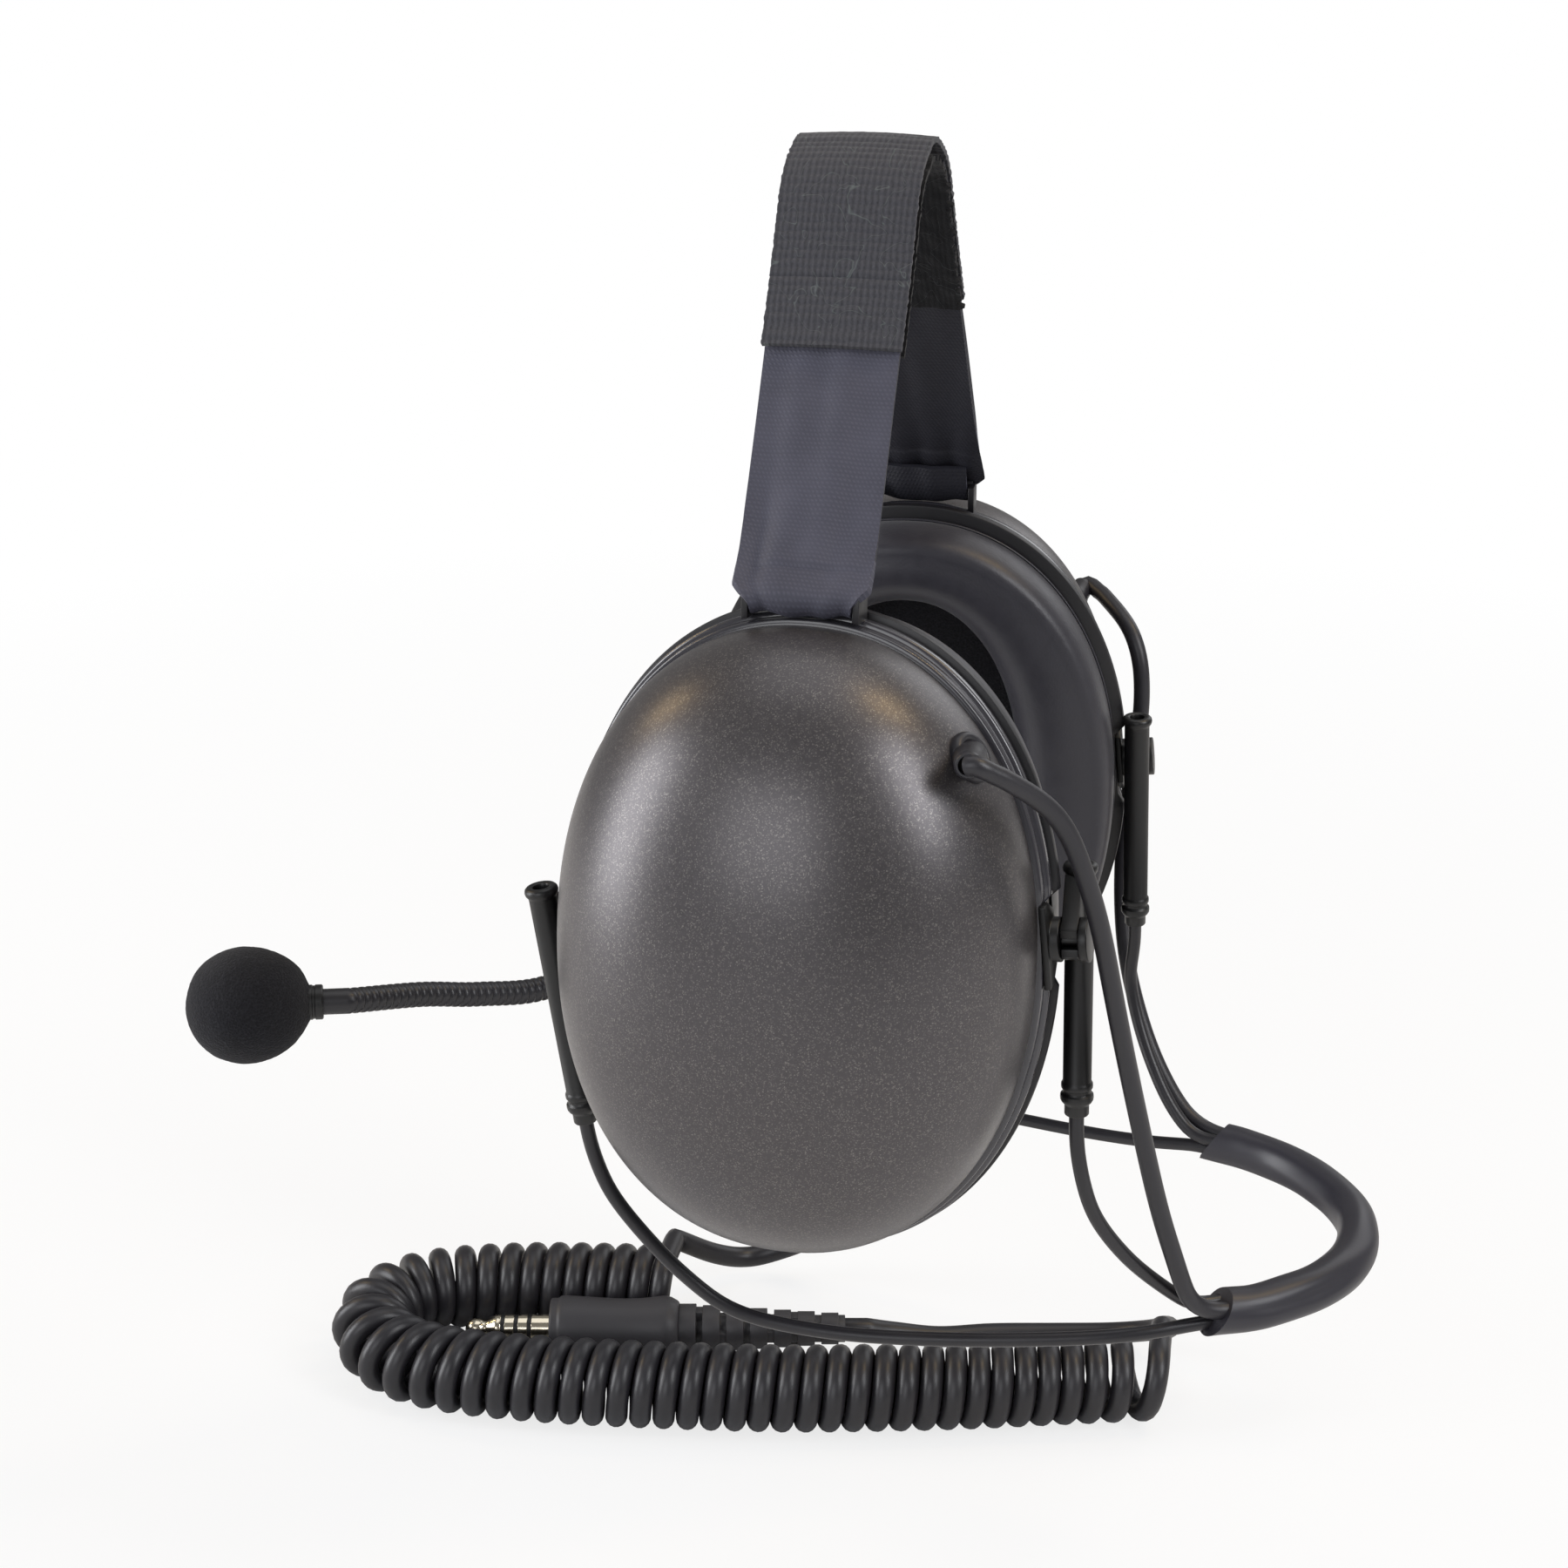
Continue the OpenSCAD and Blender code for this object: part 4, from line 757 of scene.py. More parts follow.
RING_PROFILE = [
    (6.0, 2.0), (1.9, 2.0), (1.8, 2.2), (1.8, 3.1), (1.65, 3.35), (1.1, 3.45), (0.85, 3.7), (0.8, 4.2), (0.8, 5.2),
    (0.9, 5.6), (1.25, 5.85), (1.7, 5.95), (1.8, 6.2), (1.8, 7.9), (2.0, 8.15), (2.5, 8.2), (3.3, 8.2), (3.4, 8.3),
    (3.4, 8.8), (12.0, 8.8), (12.0, 7.0), (6.0, 7.0),
]
PLATE_PROFILE = [(15.0, 0.0), (0.5, 0.0), (0.1, 0.15), (0.0, 0.5), (0.0, 1.5), (0.1, 1.85), (0.5, 2.0), (15.0, 2.0)]
# The cushion's roll: how far inside the rim, and how far along its depth
CUSHION_PROFILE = [
    (3.6, 0.0), (2.75, 0.08), (2.42, 0.2), (2.3, 0.34), (2.36, 0.5), (2.62, 0.64), (3.1, 0.76), (3.9, 0.85),
    (4.8, 0.893), (5.8, 0.905), (6.8, 0.922), (8.0, 0.955), (9.6, 0.988), (11.4, 1.0), (13.0, 0.975), (14.5, 0.915),
    (15.9, 0.815), (17.0, 0.67), (17.8, 0.48), (18.3, 0.26), (18.55, 0.08), (18.5, 0.0),
]


class HEADSET_OT_cups(bpy.types.Operator):
    """Builds the painted shells, seal rings and cushion plates"""
    bl_idname = "headset.cups"
    bl_label = "Cups"

    def execute(self, context):
        for side, name in SIDES.items():
            place, body = cup_frame(side), f"{name}_cup"
            shell = made(shell_bm(), f"{name}_painted_shell", "flake_paint", place)
            shell = walled(shell, chosen("cup", "shell_wall"), -1.0)
            settled(shell, body, "shell_paint", f"{name}_shell")
            for label, node, profile, look, slot in (
                    ("seal_band", "seal_ring", RING_PROFILE, "rim", "rim_plastic"),
                    ("cushion_rim", "cushion_plate", PLATE_PROFILE, "abs", "black_plastic")):
                bm = oval_turned(profile)
                flattened(bm, side)
                fitted(bm, f"{name}_{label}", look, place, body, slot, f"{name}_{node}", sharp=50.0)
        return {"FINISHED"}


FULLER = 4.4          # how much broader a cushion's roll is in front of and behind the ear
FULL_FROM, FULL_BY = 7.0, 17.0  # from where to where inside the rim it grows so
SEAM_IN, SEAM_AT = 2.42, -1.7   # where the seam lies: inside the rim, and outboard of it


class HEADSET_OT_cushions(bpy.types.Operator):
    """Builds the ear cushions with their seams and soft creases"""
    bl_idname = "headset.cushions"
    bl_label = "Ear cushions"

    def execute(self, context):
        depth = chosen("cup", "cushion_depth")
        for side, name in SIDES.items():
            bm = oval_turned([(inset, -depth * share) for inset, share in CUSHION_PROFILE], 240,
                             lambda inset: FULLER * clamped((inset - FULL_FROM) / (FULL_BY - FULL_FROM)))
            for v in bm.verts:
                share = -v.co.y / depth
                radial = math.hypot(v.co.x, v.co.z)
                angle = math.atan2(v.co.z, v.co.x)
                # Creases run across the roll, and show most round the hole and the outer edge
                edge = clamped((40.0 - radial) / 12.0)
                crease = wobble(math.cos(angle) * 7.0, math.sin(angle) * 7.0, 3.0 * side)
                soft = wobble(v.co.x / 16.0, v.co.z / 16.0, 5.0 + side)
                v.co.y += share * (0.28 * soft + 0.22 * edge * crease)
            cushion = made(bm, f"{name}_ear_cushion", "leatherette", cup_frame(side), sharp=75.0)
            settled(cushion, f"{name}_cup", "cushion_cover", f"{name}_cushion")
            seam = oval_turned([(SEAM_IN + 0.22 * math.cos(a), SEAM_AT + 0.3 * math.sin(a))
                                for a in [math.tau * k / 8 for k in range(8)]], steps=240)
            fitted(seam, f"{name}_cushion_seam", "leatherette", cup_frame(side), f"{name}_cup", "cushion_cover",
                   sharp=80.0)
        return {"FINISHED"}


class HEADSET_OT_insides(bpy.types.Operator):
    """Builds the foam liners and absorbers, and dresses the baffles, speakers and screws"""
    bl_idname = "headset.insides"
    bl_label = "Inside the cups"

    def execute(self, context):
        for side, name in SIDES.items():
            for label, node, inset, low, high, swell, look, slot, fill in (
                    ("foam_pad", "foam_liner", 13.5, 2.0, 5.0, 0.5, "foam", "open_foam", 0.5),
                    ("foam_block", "absorber", 20.0, 14.0, 28.0, 0.9, "grey_foam", "grey_foam", 0.6)):
                profile = [(k / 12, low) for k in range(12)] + [(0.985, low + 0.1), (1.0, low + 0.4)]
                profile += [(1.0, high - 0.5), (0.985, high - 0.1)] + [(k / 12, high) for k in range(11, -1, -1)]
                bm = oval_capped(profile, inset, steps=96)
                for v in bm.verts:
                    wave = wobble(v.co.x / 7.0, v.co.z / 7.0, low)
                    v.co.y += swell * 0.4 * (wave - 0.6) * (1 if v.co.y > (low + high) / 2 else -0.2)
                foam = made(bm, f"{name}_{label}", look, cup_frame(side))
                settled(foam, f"{name}_cup", slot, f"{name}_{node}")
            for node, look in (("baffle", "abs"), ("speaker", "capsule"), ("baffle_screws", "steel")):
                keep(f"{name}_{node}", look)
        return {"FINISHED"}


# ---- pivots, wires and cables ----

def barrel_bm():
    """The barrel: a tube with a rounded flange and foot, in which the wire slides."""
    r, up, foot = BARREL_D / 2, BARREL_UP, -BARREL_DOWN
    flange, rib, neck = r + 0.55, r + 0.45, 1.4 + 0.45 + 0.4
    profile = [
        (1.4, up - 5.0), (1.4, up - 0.6), (1.55, up - 0.2), (1.9, up), (flange - 0.9, up),
        (flange - 0.45, up - 0.12), (flange - 0.12, up - 0.45), (flange, up - 1.0), (flange - 0.12, up - 1.5),
        (flange - 0.35, up - 1.85), (r + 0.05, up - 2.05), (r, up - 2.4), (r, foot + 6.7), (r + 0.12, foot + 6.45),
        (r + 0.27, foot + 6.2), (r + 0.3, foot + 5.8), (r + 0.27, foot + 5.4), (r + 0.12, foot + 5.15),
        (r, foot + 4.95), (r, foot + 4.5), (r + 0.15, foot + 4.3), (rib - 0.05, foot + 4.05), (rib, foot + 3.55),
        (rib - 0.06, foot + 3.05), (rib - 0.3, foot + 2.6), (neck + 0.1, foot + 2.2), (neck, foot + 1.9),
        (neck, foot + 0.25), (neck - 0.15, foot + 0.03), (1.95, foot), (1.85, foot + 0.3), (1.85, up - 5.6),
    ]
    return turned(profile, 48, closed=True)


def jaw_bm(end):
    """The clip that joins a barrel to its spool, with its pin hole open on the free side."""
    width = 3.1
    outline = [(-BARREL_OFF + 2.05, 10.4), (-BARREL_OFF + 2.5, 10.4), (0.6, 3.6), (2.1, 2.9), (2.6, 2.4), (2.6, 1.0),
               (1.1, 0.95), (0.62, 1.1), (-0.3, 1.25), (-1.0, 0.8), (-1.25, 0.0), (-1.0, -0.8), (-0.3, -1.25),
               (0.62, -1.1), (1.1, -0.95), (2.6, -1.0), (2.6, -2.4), (2.1, -2.9), (0.6, -3.6),
               (-BARREL_OFF + 2.5, -5.4), (-BARREL_OFF + 2.05, -5.4)]
    bm = bmesh.new()
    verts = [bm.verts.new((-width / 2, end * y, z)) for y, z in outline]
    face = bm.faces.new(verts)
    grown = bmesh.ops.extrude_face_region(bm, geom=[face])
    bmesh.ops.translate(bm, vec=(width, 0, 0), verts=corners_of(grown))
    facing_out(bm)
    rounded(bm, 60, 0.2)
    return bm


class HEADSET_OT_pivots(bpy.types.Operator):
    """Builds the barrels with their clips, and the brackets with their spools"""
    bl_idname = "headset.pivots"
    bl_label = "Pivots"

    def execute(self, context):
        for side, name in SIDES.items():
            for end, where in ENDS.items():
                bracket = from_frame(f"{name}_{where}_bracket", f"{name}_{where}_spool", "nylon", edge=0.2)
                settled(bracket, f"{name}_cup", "black_plastic", f"{name}_{where}_bracket")
                fitted(barrel_bm(), f"{name}_{where}_barrel_tube", "nylon", barrel_frame(side, end),
                       f"{name}_carriage", "black_plastic", f"{name}_{where}_barrel")
                fitted(jaw_bm(end), f"{name}_{where}_barrel_clip", "nylon", clip_frame(side, end),
                       f"{name}_carriage", "black_plastic")
                # The pin shows between the discs of the spool
                pin = turned([(0.0, -3.2), (1.0, -3.2), (1.16, -3.05), (1.16, 3.05), (1.0, 3.2), (0.0, 3.2)], 32)
                fitted(pin, f"{name}_{where}_pivot_pin", "nylon", spool_frame(side, end) @ turn(90, "Y"),
                       f"{name}_cup", "black_plastic")
        return {"FINISHED"}


SLEEVE = {
    LEFT: [(75, -35, -74.8), (84, -30, -75), (93, -21, -75.2), (98.7, -11, -75.4), (100.4, 0, -75.5)],
    RIGHT: [(69, 37.2, -76.6), (76.5, 34.4, -76.5), (85, 29.4, -76.4), (93, 21, -76), (98.7, 11, -75.7),
            (100.4, 0, -75.5)],
}
# Where each wire and the cable lie in the sleeve: outward from its middle line, and up
LANES = {FRONT: (-0.1, -2.15), REAR: (-1.95, 1.1), "cable": (1.4, 1.0)}
WIRE_ROUTES = {
    (LEFT, FRONT): [(-39, -55, -52.2), (-32.5, -54.8, -61), (-24.1, -54, -70), (-14.2, -53, -76.9), (2.8, -51, -80),
                    (23, -48.5, -80.2), (44, -45.5, -79), (60, -42.3, -77.6)],
    (RIGHT, FRONT): [(-38.8, 55, -55.3), (-32, 54.6, -64), (-23.5, 53.6, -72.6), (-12, 52, -78.4), (4, 49.4, -80.8),
                     (23, 46.6, -81.2), (41, 43.4, -81.2), (55, 40.8, -80.4)],
    (LEFT, REAR): [(49.8, -50, -40.2), (52.4, -48.2, -49.6), (57.8, -44.4, -59.2), (63.8, -39.8, -67)],
    (RIGHT, REAR): [(48, 49.6, -46), (50.9, 46.8, -56), (55.2, 42.4, -64.5), (59.6, 39, -71)],
}
CABLE_ROUTES = {
    LEFT: [(44.5, -68, 37.1), (48.9, -65, 27), (52.2, -61, 14.4), (55, -56, -2.4), (58.4, -51, -21.5),
           (63.7, -45, -47.7), (67.8, -41.8, -62.5), (70, -39.9, -70.2)],
    RIGHT: [(42.8, 69.8, 27.2), (45.5, 67.6, 18.6), (46, 66.2, 9.5), (44.5, 63.7, -7), (44, 60.6, -25),
            (46.4, 54.6, -43), (52.8, 48.6, -60.4), (60.4, 43, -71.6)],
}
GROMMET_SPOT = {LEFT: (28.5, 38.5), RIGHT: (28.0, 27.0)}
RING_SPOT = {LEFT: (31.8, 39.9), RIGHT: (31.2, 28.4)}  # where the rubber ring lies on the shell
GROMMET_DIR = Vector((0.74, 0.46, 0.4)).normalized()
GROMMET_L = 7.0
SPLIT = 0.36          # share of a cable's length in its upper piece
BAND_REACH = -66.0    # height at which a cable has joined the band
MOUTH, SLANT = 9.0, 2.6  # how far the sleeve's slanting mouths reach, and by how much they slant
SLEEVE_WALL = 0.5


def lane_line(side, offset):
    """The run of a wire or cable through the sleeve, from ahead of its mouth to its middle."""
    line = [Vector(p) for p in SLEEVE[side]]
    last = len(line) - 1
    run = []
    for i, point in enumerate(line):
        v = Vector((0, -side, 0)) if i == last else (line[i + 1] - line[max(i - 1, 0)]).normalized()
        out = side * Vector((-v.y, v.x, 0)).normalized()
        run.append(point + offset[0] * out + Vector((0, 0, offset[1])))
    ahead = run[0] - 4.0 * (run[1] - run[0]).normalized()
    return [ahead] + run[:-1] + [run[-1] + Vector((0, side * 3.0, 0)), run[-1] + Vector((0, side * 0.4, 0))]


def wire_line(side, end):
    """A spring wire from inside its barrel to the middle of the sleeve."""
    into = barrel_frame(side, end)
    foot = -BARREL_DOWN - 3.0
    top = [into @ Vector((0, 0, h)) for h in (1.2, -BARREL_DOWN + 1.0, foot)]
    route = [into @ Vector((0, 0, foot - 2.0))] + WIRE_ROUTES[side, end] + lane_line(side, LANES[end])
    return softened(even(top + spline(route, 10), 1.5), 2)


def dome_spot(x, z):
    """The point of the shell's outside over x and z, in the cup's frame."""
    a = chosen("cup", "rim_width") / 2 - LIP_IN
    b = chosen("cup", "rim_height") / 2 - LIP_IN
    c = ((abs(x) / a) ** OVAL + (abs(z - DOME_RISE * 0.4) / b) ** OVAL) ** (1 / OVAL)
    v = math.acos(min(1.0, c ** (DOME / 2)))
    return Vector((x, LIP_Y + chosen("cup", "dome_depth") * math.sin(v) ** (2 / DOME), z))


def cable_line(side):
    """The cable from its grommet to the middle of the sleeve."""
    seat = dome_spot(*GROMMET_SPOT[side])
    into = cup_frame(side)
    root, away = (into @ (seat + d * GROMMET_DIR) for d in (GROMMET_L, GROMMET_L + 2.0))
    return softened(even([root] + spline([away] + CABLE_ROUTES[side] + lane_line(side, LANES["cable"]), 10), 1.5), 4)


def sleeve_bm():
    """The sleeve: a thin hose, creased along its outside and cut slanting at its mouths."""
    middle = SLEEVE[LEFT] + SLEEVE[RIGHT][-2::-1]
    line = even(spline(middle, 10), 1.2)
    along = distances(line)
    whole, outer = along[-1], chosen("band", "sleeve") / 2

    def skin(wall):
        def ring(i, angle):
            s = along[i]
            ends = min(s, whole - s)
            slant = 0.0
            if ends < MOUTH:  # the mouths are longest underneath
                slant = (1 - ends / MOUTH) * SLANT * -math.cos(angle) * (1 if s > whole / 2 else -1)
            fold = wobble(math.cos(angle) * 1.3, math.sin(angle) * 1.3, s / 11.0)
            valley = math.exp(-((angle - 1.15) / 0.35) ** 2) * (0.5 + 0.5 * math.sin(s / 9.0))
            kink = math.exp(-((s - whole / 2) / 6.0) ** 2) * math.cos(2 * angle)
            give = min(1.0, ends / 6.0)
            return slant, outer + give * (0.28 * fold - 0.5 * valley + 0.3 * kink) - wall
        return ring

    bm = swept(line, skin(0.0), 40)
    joined(bm, swept(line, skin(SLEEVE_WALL), 40))
    rims = [e for e in bm.edges if e.is_boundary]
    for far in (False, True):
        bmesh.ops.bridge_loops(bm, edges=[e for e in rims if (e.verts[0].co.y > 0) == far])
    return facing_out(bm)


class HEADSET_OT_neckband(bpy.types.Operator):
    """Builds the spring wires, the sleeve behind the neck, and the cable with its grommets"""
    bl_idname = "headset.neckband"
    bl_label = "Neckband"

    def execute(self, context):
        wire, cable = chosen("band", "wire"), chosen("band", "cable")
        for side, name in SIDES.items():
            for end, where in ENDS.items():
                bar = tube(f"{name}_{where}_spring_wire", wire_line(side, end), wire - 0.04, "coat", sides=16)
                settled(bar, f"{name}_band", "wire_coat", f"{name}_{where}_wire")
            line = cable_line(side)
            along = distances(line)
            split = next(i for i, s in enumerate(along) if s > SPLIT * along[-1])
            upper, lower = line[:split + 1], line[split:]
            reach = next(p for p in lower if p.z < BAND_REACH)
            for part, run, a, b, start, end, nodes in (
                    ("upper", upper, "cup", "carriage", upper[2], upper[-3], [f"{name}_cable"]),
                    ("lower", lower, "carriage", "band", lower[3], reach, [])):
                hose = tube(f"{name}_cable_{part}", run, cable, "jacket")
                bent(hose, f"{name}_{a}", f"{name}_{b}", start, end, "cable_jacket", *nodes)
            self.grommet(side, name)
        sleeve = made(sleeve_bm(), "neck_soft_sleeve", "sheath", sharp=60.0)
        bent(sleeve, "right_band", "left_band", SLEEVE[RIGHT][-2], SLEEVE[LEFT][-2], "cable_jacket", "neck_sleeve")
        return {"FINISHED"}

    def grommet(self, side, name):
        """A rolled rubber ring that lies on the shell, with a short neck round the cable."""
        x, z = RING_SPOT[side]
        seat = dome_spot(x, z)
        tip = dome_spot(*GROMMET_SPOT[side]) + GROMMET_L * GROMMET_DIR
        reach = (tip - seat).length
        slope = (dome_spot(x + 1, z) - dome_spot(x - 1, z)).cross(dome_spot(x, z + 1) - dome_spot(x, z - 1))
        r = chosen("band", "cable") / 2
        ring = turned([(0.0, -1.6), (4.1, -1.6), (4.45, -0.6), (4.6, 0.2), (4.5, 0.8), (4.2, 1.25), (3.75, 1.5),
                       (3.3, 1.45), (2.95, 1.15), (2.7, 0.9), (0.0, 0.9)], 56)
        ring.transform(aimed(seat, -slope if slope.y < 0 else slope))
        neck = turned([(0.0, -2.0), (2.9, -2.0), (2.9, 0.3 * reach), (2.7, 0.42 * reach), (2.5, 0.52 * reach),
                       (2.4, 0.8 * reach), (2.3, reach - 0.4), (2.0, reach), (r - 0.1, reach),
                       (r - 0.1, 0.6 * reach), (0.0, 0.6 * reach)], 40)
        neck.transform(aimed(seat, tip - seat))
        joined(ring, neck)
        fitted(ring, f"{name}_cable_grommet", "jacket", cup_frame(side), f"{name}_cup", "cable_jacket",
               f"{name}_grommet")


# ---- head strap ----

def strap_points(side, steps=40):
    """The strap's middle line from its fold to just above the bar on a cup."""
    top = chosen("strap", "top")
    bar = cup_frame(side) @ Vector((0, BAR_Y, BAR_Z))
    fold = Vector((0, 0, top))
    run = Vector((0, bar.y, bar.z - top))
    out = Vector((0, side * -run.z, abs(run.y))).normalized()
    reach = 1 - (BAR_D / 2 + chosen("strap", "thickness") / 2) / run.length
    line = [fold, Vector((0, side * 2.2, top - 0.15))]
    for k in range(1, steps + 1):
        t = reach * (0.012 + 0.988 * (k / steps) ** 1.25)
        drop = -t * run.z
        # The fold is an arch: below its top the two halves soon stand well apart
        arch = ARCH * (1 - math.exp(-drop / 3.2)) * math.exp(-drop / 20)
        line.append(fold + t * run + STRAP_BULGE * math.sin(math.pi * t) * out + Vector((0, side * arch, 0)))
    return line


def across_strap(point, u, half):
    """The x of a point of the strap, u from -1 at its front edge to 1 at its rear one."""
    lean = STRAP_FWD * max(0.0, (point.z - BAR_Z) / (chosen("strap", "top") - BAR_Z))
    return -CUP_FWD - lean + STRAP_SKEW * point.y + u * half


BOW = 0.5             # how far the strap's middle stands out from its edges
CLOTH_SHARP = 60.0
PLY_END = 102.5       # height at which the plies end
PLY_CLEAR = 101.0     # below this a lower strap isn't held between the plies
WEB_CUT = 89.0        # height at which a lower strap is in two pieces
WEB_TURN = 70.0       # below this it lies round the bar


def strip(name, line, rows, side, half, lift, bowed, cells, look, thickness):
    """A strip of webbing along a line, from the first of the two rows to the last. half(s, u)
    is its half width and lift(s, u) how far it stands outside the line, both at a distance s
    along and a share u across. Up to row bowed it is bowed across."""
    along, ahead, (low, high) = distances(line), headings(line), rows

    def outward(i):
        return side * Vector((0, -ahead[i].z, ahead[i].y)).normalized()

    bm = bmesh.new()
    bmesh.ops.create_grid(bm, x_segments=cells, y_segments=high - low, size=1.0)
    cloth = bm.verts.layers.float_vector.new("cloth")
    for v in bm.verts:
        u, i = v.co.x, low + round((v.co.y + 1) / 2 * (high - low))
        s, point = along[i], line[i]
        wide = half(s, u)
        v[cloth] = (u * wide, s, 0.0)
        spot = point + (lift(s, u) + (BOW * (1 - u * u) if i < bowed else 0.0)) * outward(i)
        v.co = (across_strap(point, u, wide), spot.y, spot.z)
    facing_out(bm)
    bm.faces.ensure_lookup_table()
    if bm.faces[0].normal.dot(outward(low)) < 0:
        bmesh.ops.reverse_faces(bm, faces=bm.faces[:])
    return walled(made(bm, name, look, sharp=CLOTH_SHARP), thickness, 0.0, CLOTH_SHARP)


class HEADSET_OT_strap(bpy.types.Operator):
    """Builds the head strap: two lower straps, two hook-and-loop plies, and the bars on the cups"""
    bl_idname = "headset.strap"
    bl_label = "Head strap"

    def execute(self, context):
        width, thick, ply = (chosen("strap", n) for n in ("width", "thickness", "ply"))
        halves = {side: strap_points(side) for side in SIDES}
        for side, name in SIDES.items():
            self.lower(side, name, halves[side], width - 0.8, thick)
            bar = from_frame(f"{name}_strap_anchor", f"{name}_strap_bar", "abs", edge=0.25)
            settled(bar, f"{name}_cup", "black_plastic", f"{name}_strap_anchor")
        # The plies run over the fold and end part of the way down each side
        cut = {side: [p for p in halves[side] if p.z > PLY_END] for side in SIDES}
        line = softened(even(cut[LEFT][::-1] + cut[RIGHT][1:], 0.28), 2)
        long = distances(line)[-1]
        rib, half, fold = chosen("strap", "rib"), width / 2 + 0.1, long / 2

        def ragged(depth):
            def edge(s, u):
                worn = depth if s > fold else 0.2  # the far edge is frayed the most
                return half + (worn * wobble(s / 0.9, 3.0, u) if abs(u) > 0.99 else 0.0)
            return edge

        def ribbed(s, u):
            wave = 0.5 + 0.5 * math.cos(math.tau * s / rib + 0.5 * wobble(u * 4, s / 5, 0))
            pile = wobble(u * 9.0, s / 0.8, 1.0)
            seam = sum(math.exp(-((min(s, long - s) - at) / 0.55) ** 2) for at in (3.4, 13.0))
            return thick / 2 + 0.25 + ply / 2 + 0.17 * wave + 0.06 * pile - 0.25 * seam

        def hooked(s, u):
            tuft = max(0.0, wobble(u * 5.0, s / 2.6, 7.0)) * 0.5
            return -thick / 2 - 0.15 - ply / 2 - tuft

        for name, node, lift, depth, look in (
                ("strap_loop_ply", "strap_outer_ply", ribbed, 0.25, "loop"),
                ("strap_hook_ply", "strap_inner_ply", hooked, 1.3, "hook")):
            piece = strip(name, line, (0, len(line) - 1), RIGHT, ragged(depth), lift, len(line), 30, look, ply)
            bent(piece, "right_band", "left_band", (0, fold * 0.35, 128), (0, -fold * 0.35, 128), "webbing", node)
        return {"FINISHED"}

    def lower(self, side, name, points, width, thick):
        """A lower strap: down from between the plies, round the bar and up again on its inside."""
        radius, top = BAR_D / 2 + thick / 2, chosen("strap", "top")
        bar = cup_frame(side) @ Vector((0, BAR_Y, BAR_Z))
        start = Vector((0, bar.y, bar.z))
        down = (start - Vector((0, 0, top))).normalized()
        out = Vector((0, side * -down.z, abs(down.y))).normalized()
        line = [Vector((0, p.y, p.z)) for p in points if p.z < top - 3.0 and (p - bar).dot(down) < -11.0]
        line.append(start - 6.0 * down + 0.55 * radius * out)
        line += [start + radius * (math.cos(a) * out + math.sin(a) * down)
                 for a in [math.radians(d) for d in (-10, 30, 70, 110, 150, 185)]]
        line += [start - 2.5 * down - 0.85 * radius * out, start - 4.6 * down - 0.5 * radius * out,
                 start - 6.2 * down - 0.2 * radius * out]
        line = even(spline(line, 8), 0.55)
        along = distances(line)
        foot = next(s for s, p in zip(along, line) if (p - start).dot(down) > -3.0)

        def gather(s, u):
            # It is full width down to the bar, and squeezed between the bar's ears below it
            return width / 2 - 3.0 * clamped((s - foot - 1.5) / 3.5)

        def pleat(s, u):
            near = max(0.0, 1 - abs(s - foot + 4) / 14.0)
            soft = wobble(u * 2.1, s / 26.0, 4.0 * side)
            return 0.9 * soft * min(1.0, s / 20.0) + near * 0.42 * math.cos(u * 11.0 + 0.8 * side + 0.08 * s)

        # It is in two pieces, which meet at the height of the cut
        cut, clear, turn_in = (next(i for i, p in enumerate(line) if p.z < z) for z in (WEB_CUT, PLY_CLEAR, WEB_TURN))
        webs = []
        for part, rows, held, rest in (("", (0, cut), "stretched", "strap_loop_ply"),
                                       ("_foot", (cut, len(line) - 1), "gathered", f"{name}_strap_bar")):
            web = strip(f"{name}_strap_web{part}", line, rows, side, gather, pleat, cut + 40, 28, "web", thick * 0.94)
            flat = (chosen("strap", "width") * MM, (along[rows[1]] - along[rows[0]]) * MM)
            webs.append(web)
        bent(webs[0], f"{name}_band", f"{name}_carriage", line[clear], line[cut - 1], "webbing", f"{name}_strap")
        bent(webs[1], f"{name}_carriage", f"{name}_cup", line[cut + 2], line[turn_in], "webbing")


# ---- boom microphone ----

HUB = Vector((-30.0, 37.4, -34.0))
HUB_D, HUB_T = 18.0, 6.6
MIC_DIR = Vector((-0.93, -0.36, 0.02)).normalized()
MIC_MID = Vector((-138.0, 2.5, -50.8))
COLLAR_L = 6.0
MIC_BEND = [(-106.5, 31, -57.5), (-122, 10, -51.5)]  # two points on the gooseneck near the microphone
GOOSE_ROUTE = [(-60.5, 79, -51), (-75, 65.5, -59.5), (-87.5, 52, -63.6), (-99, 38.5, -60.4), (-108, 26.5, -56)]


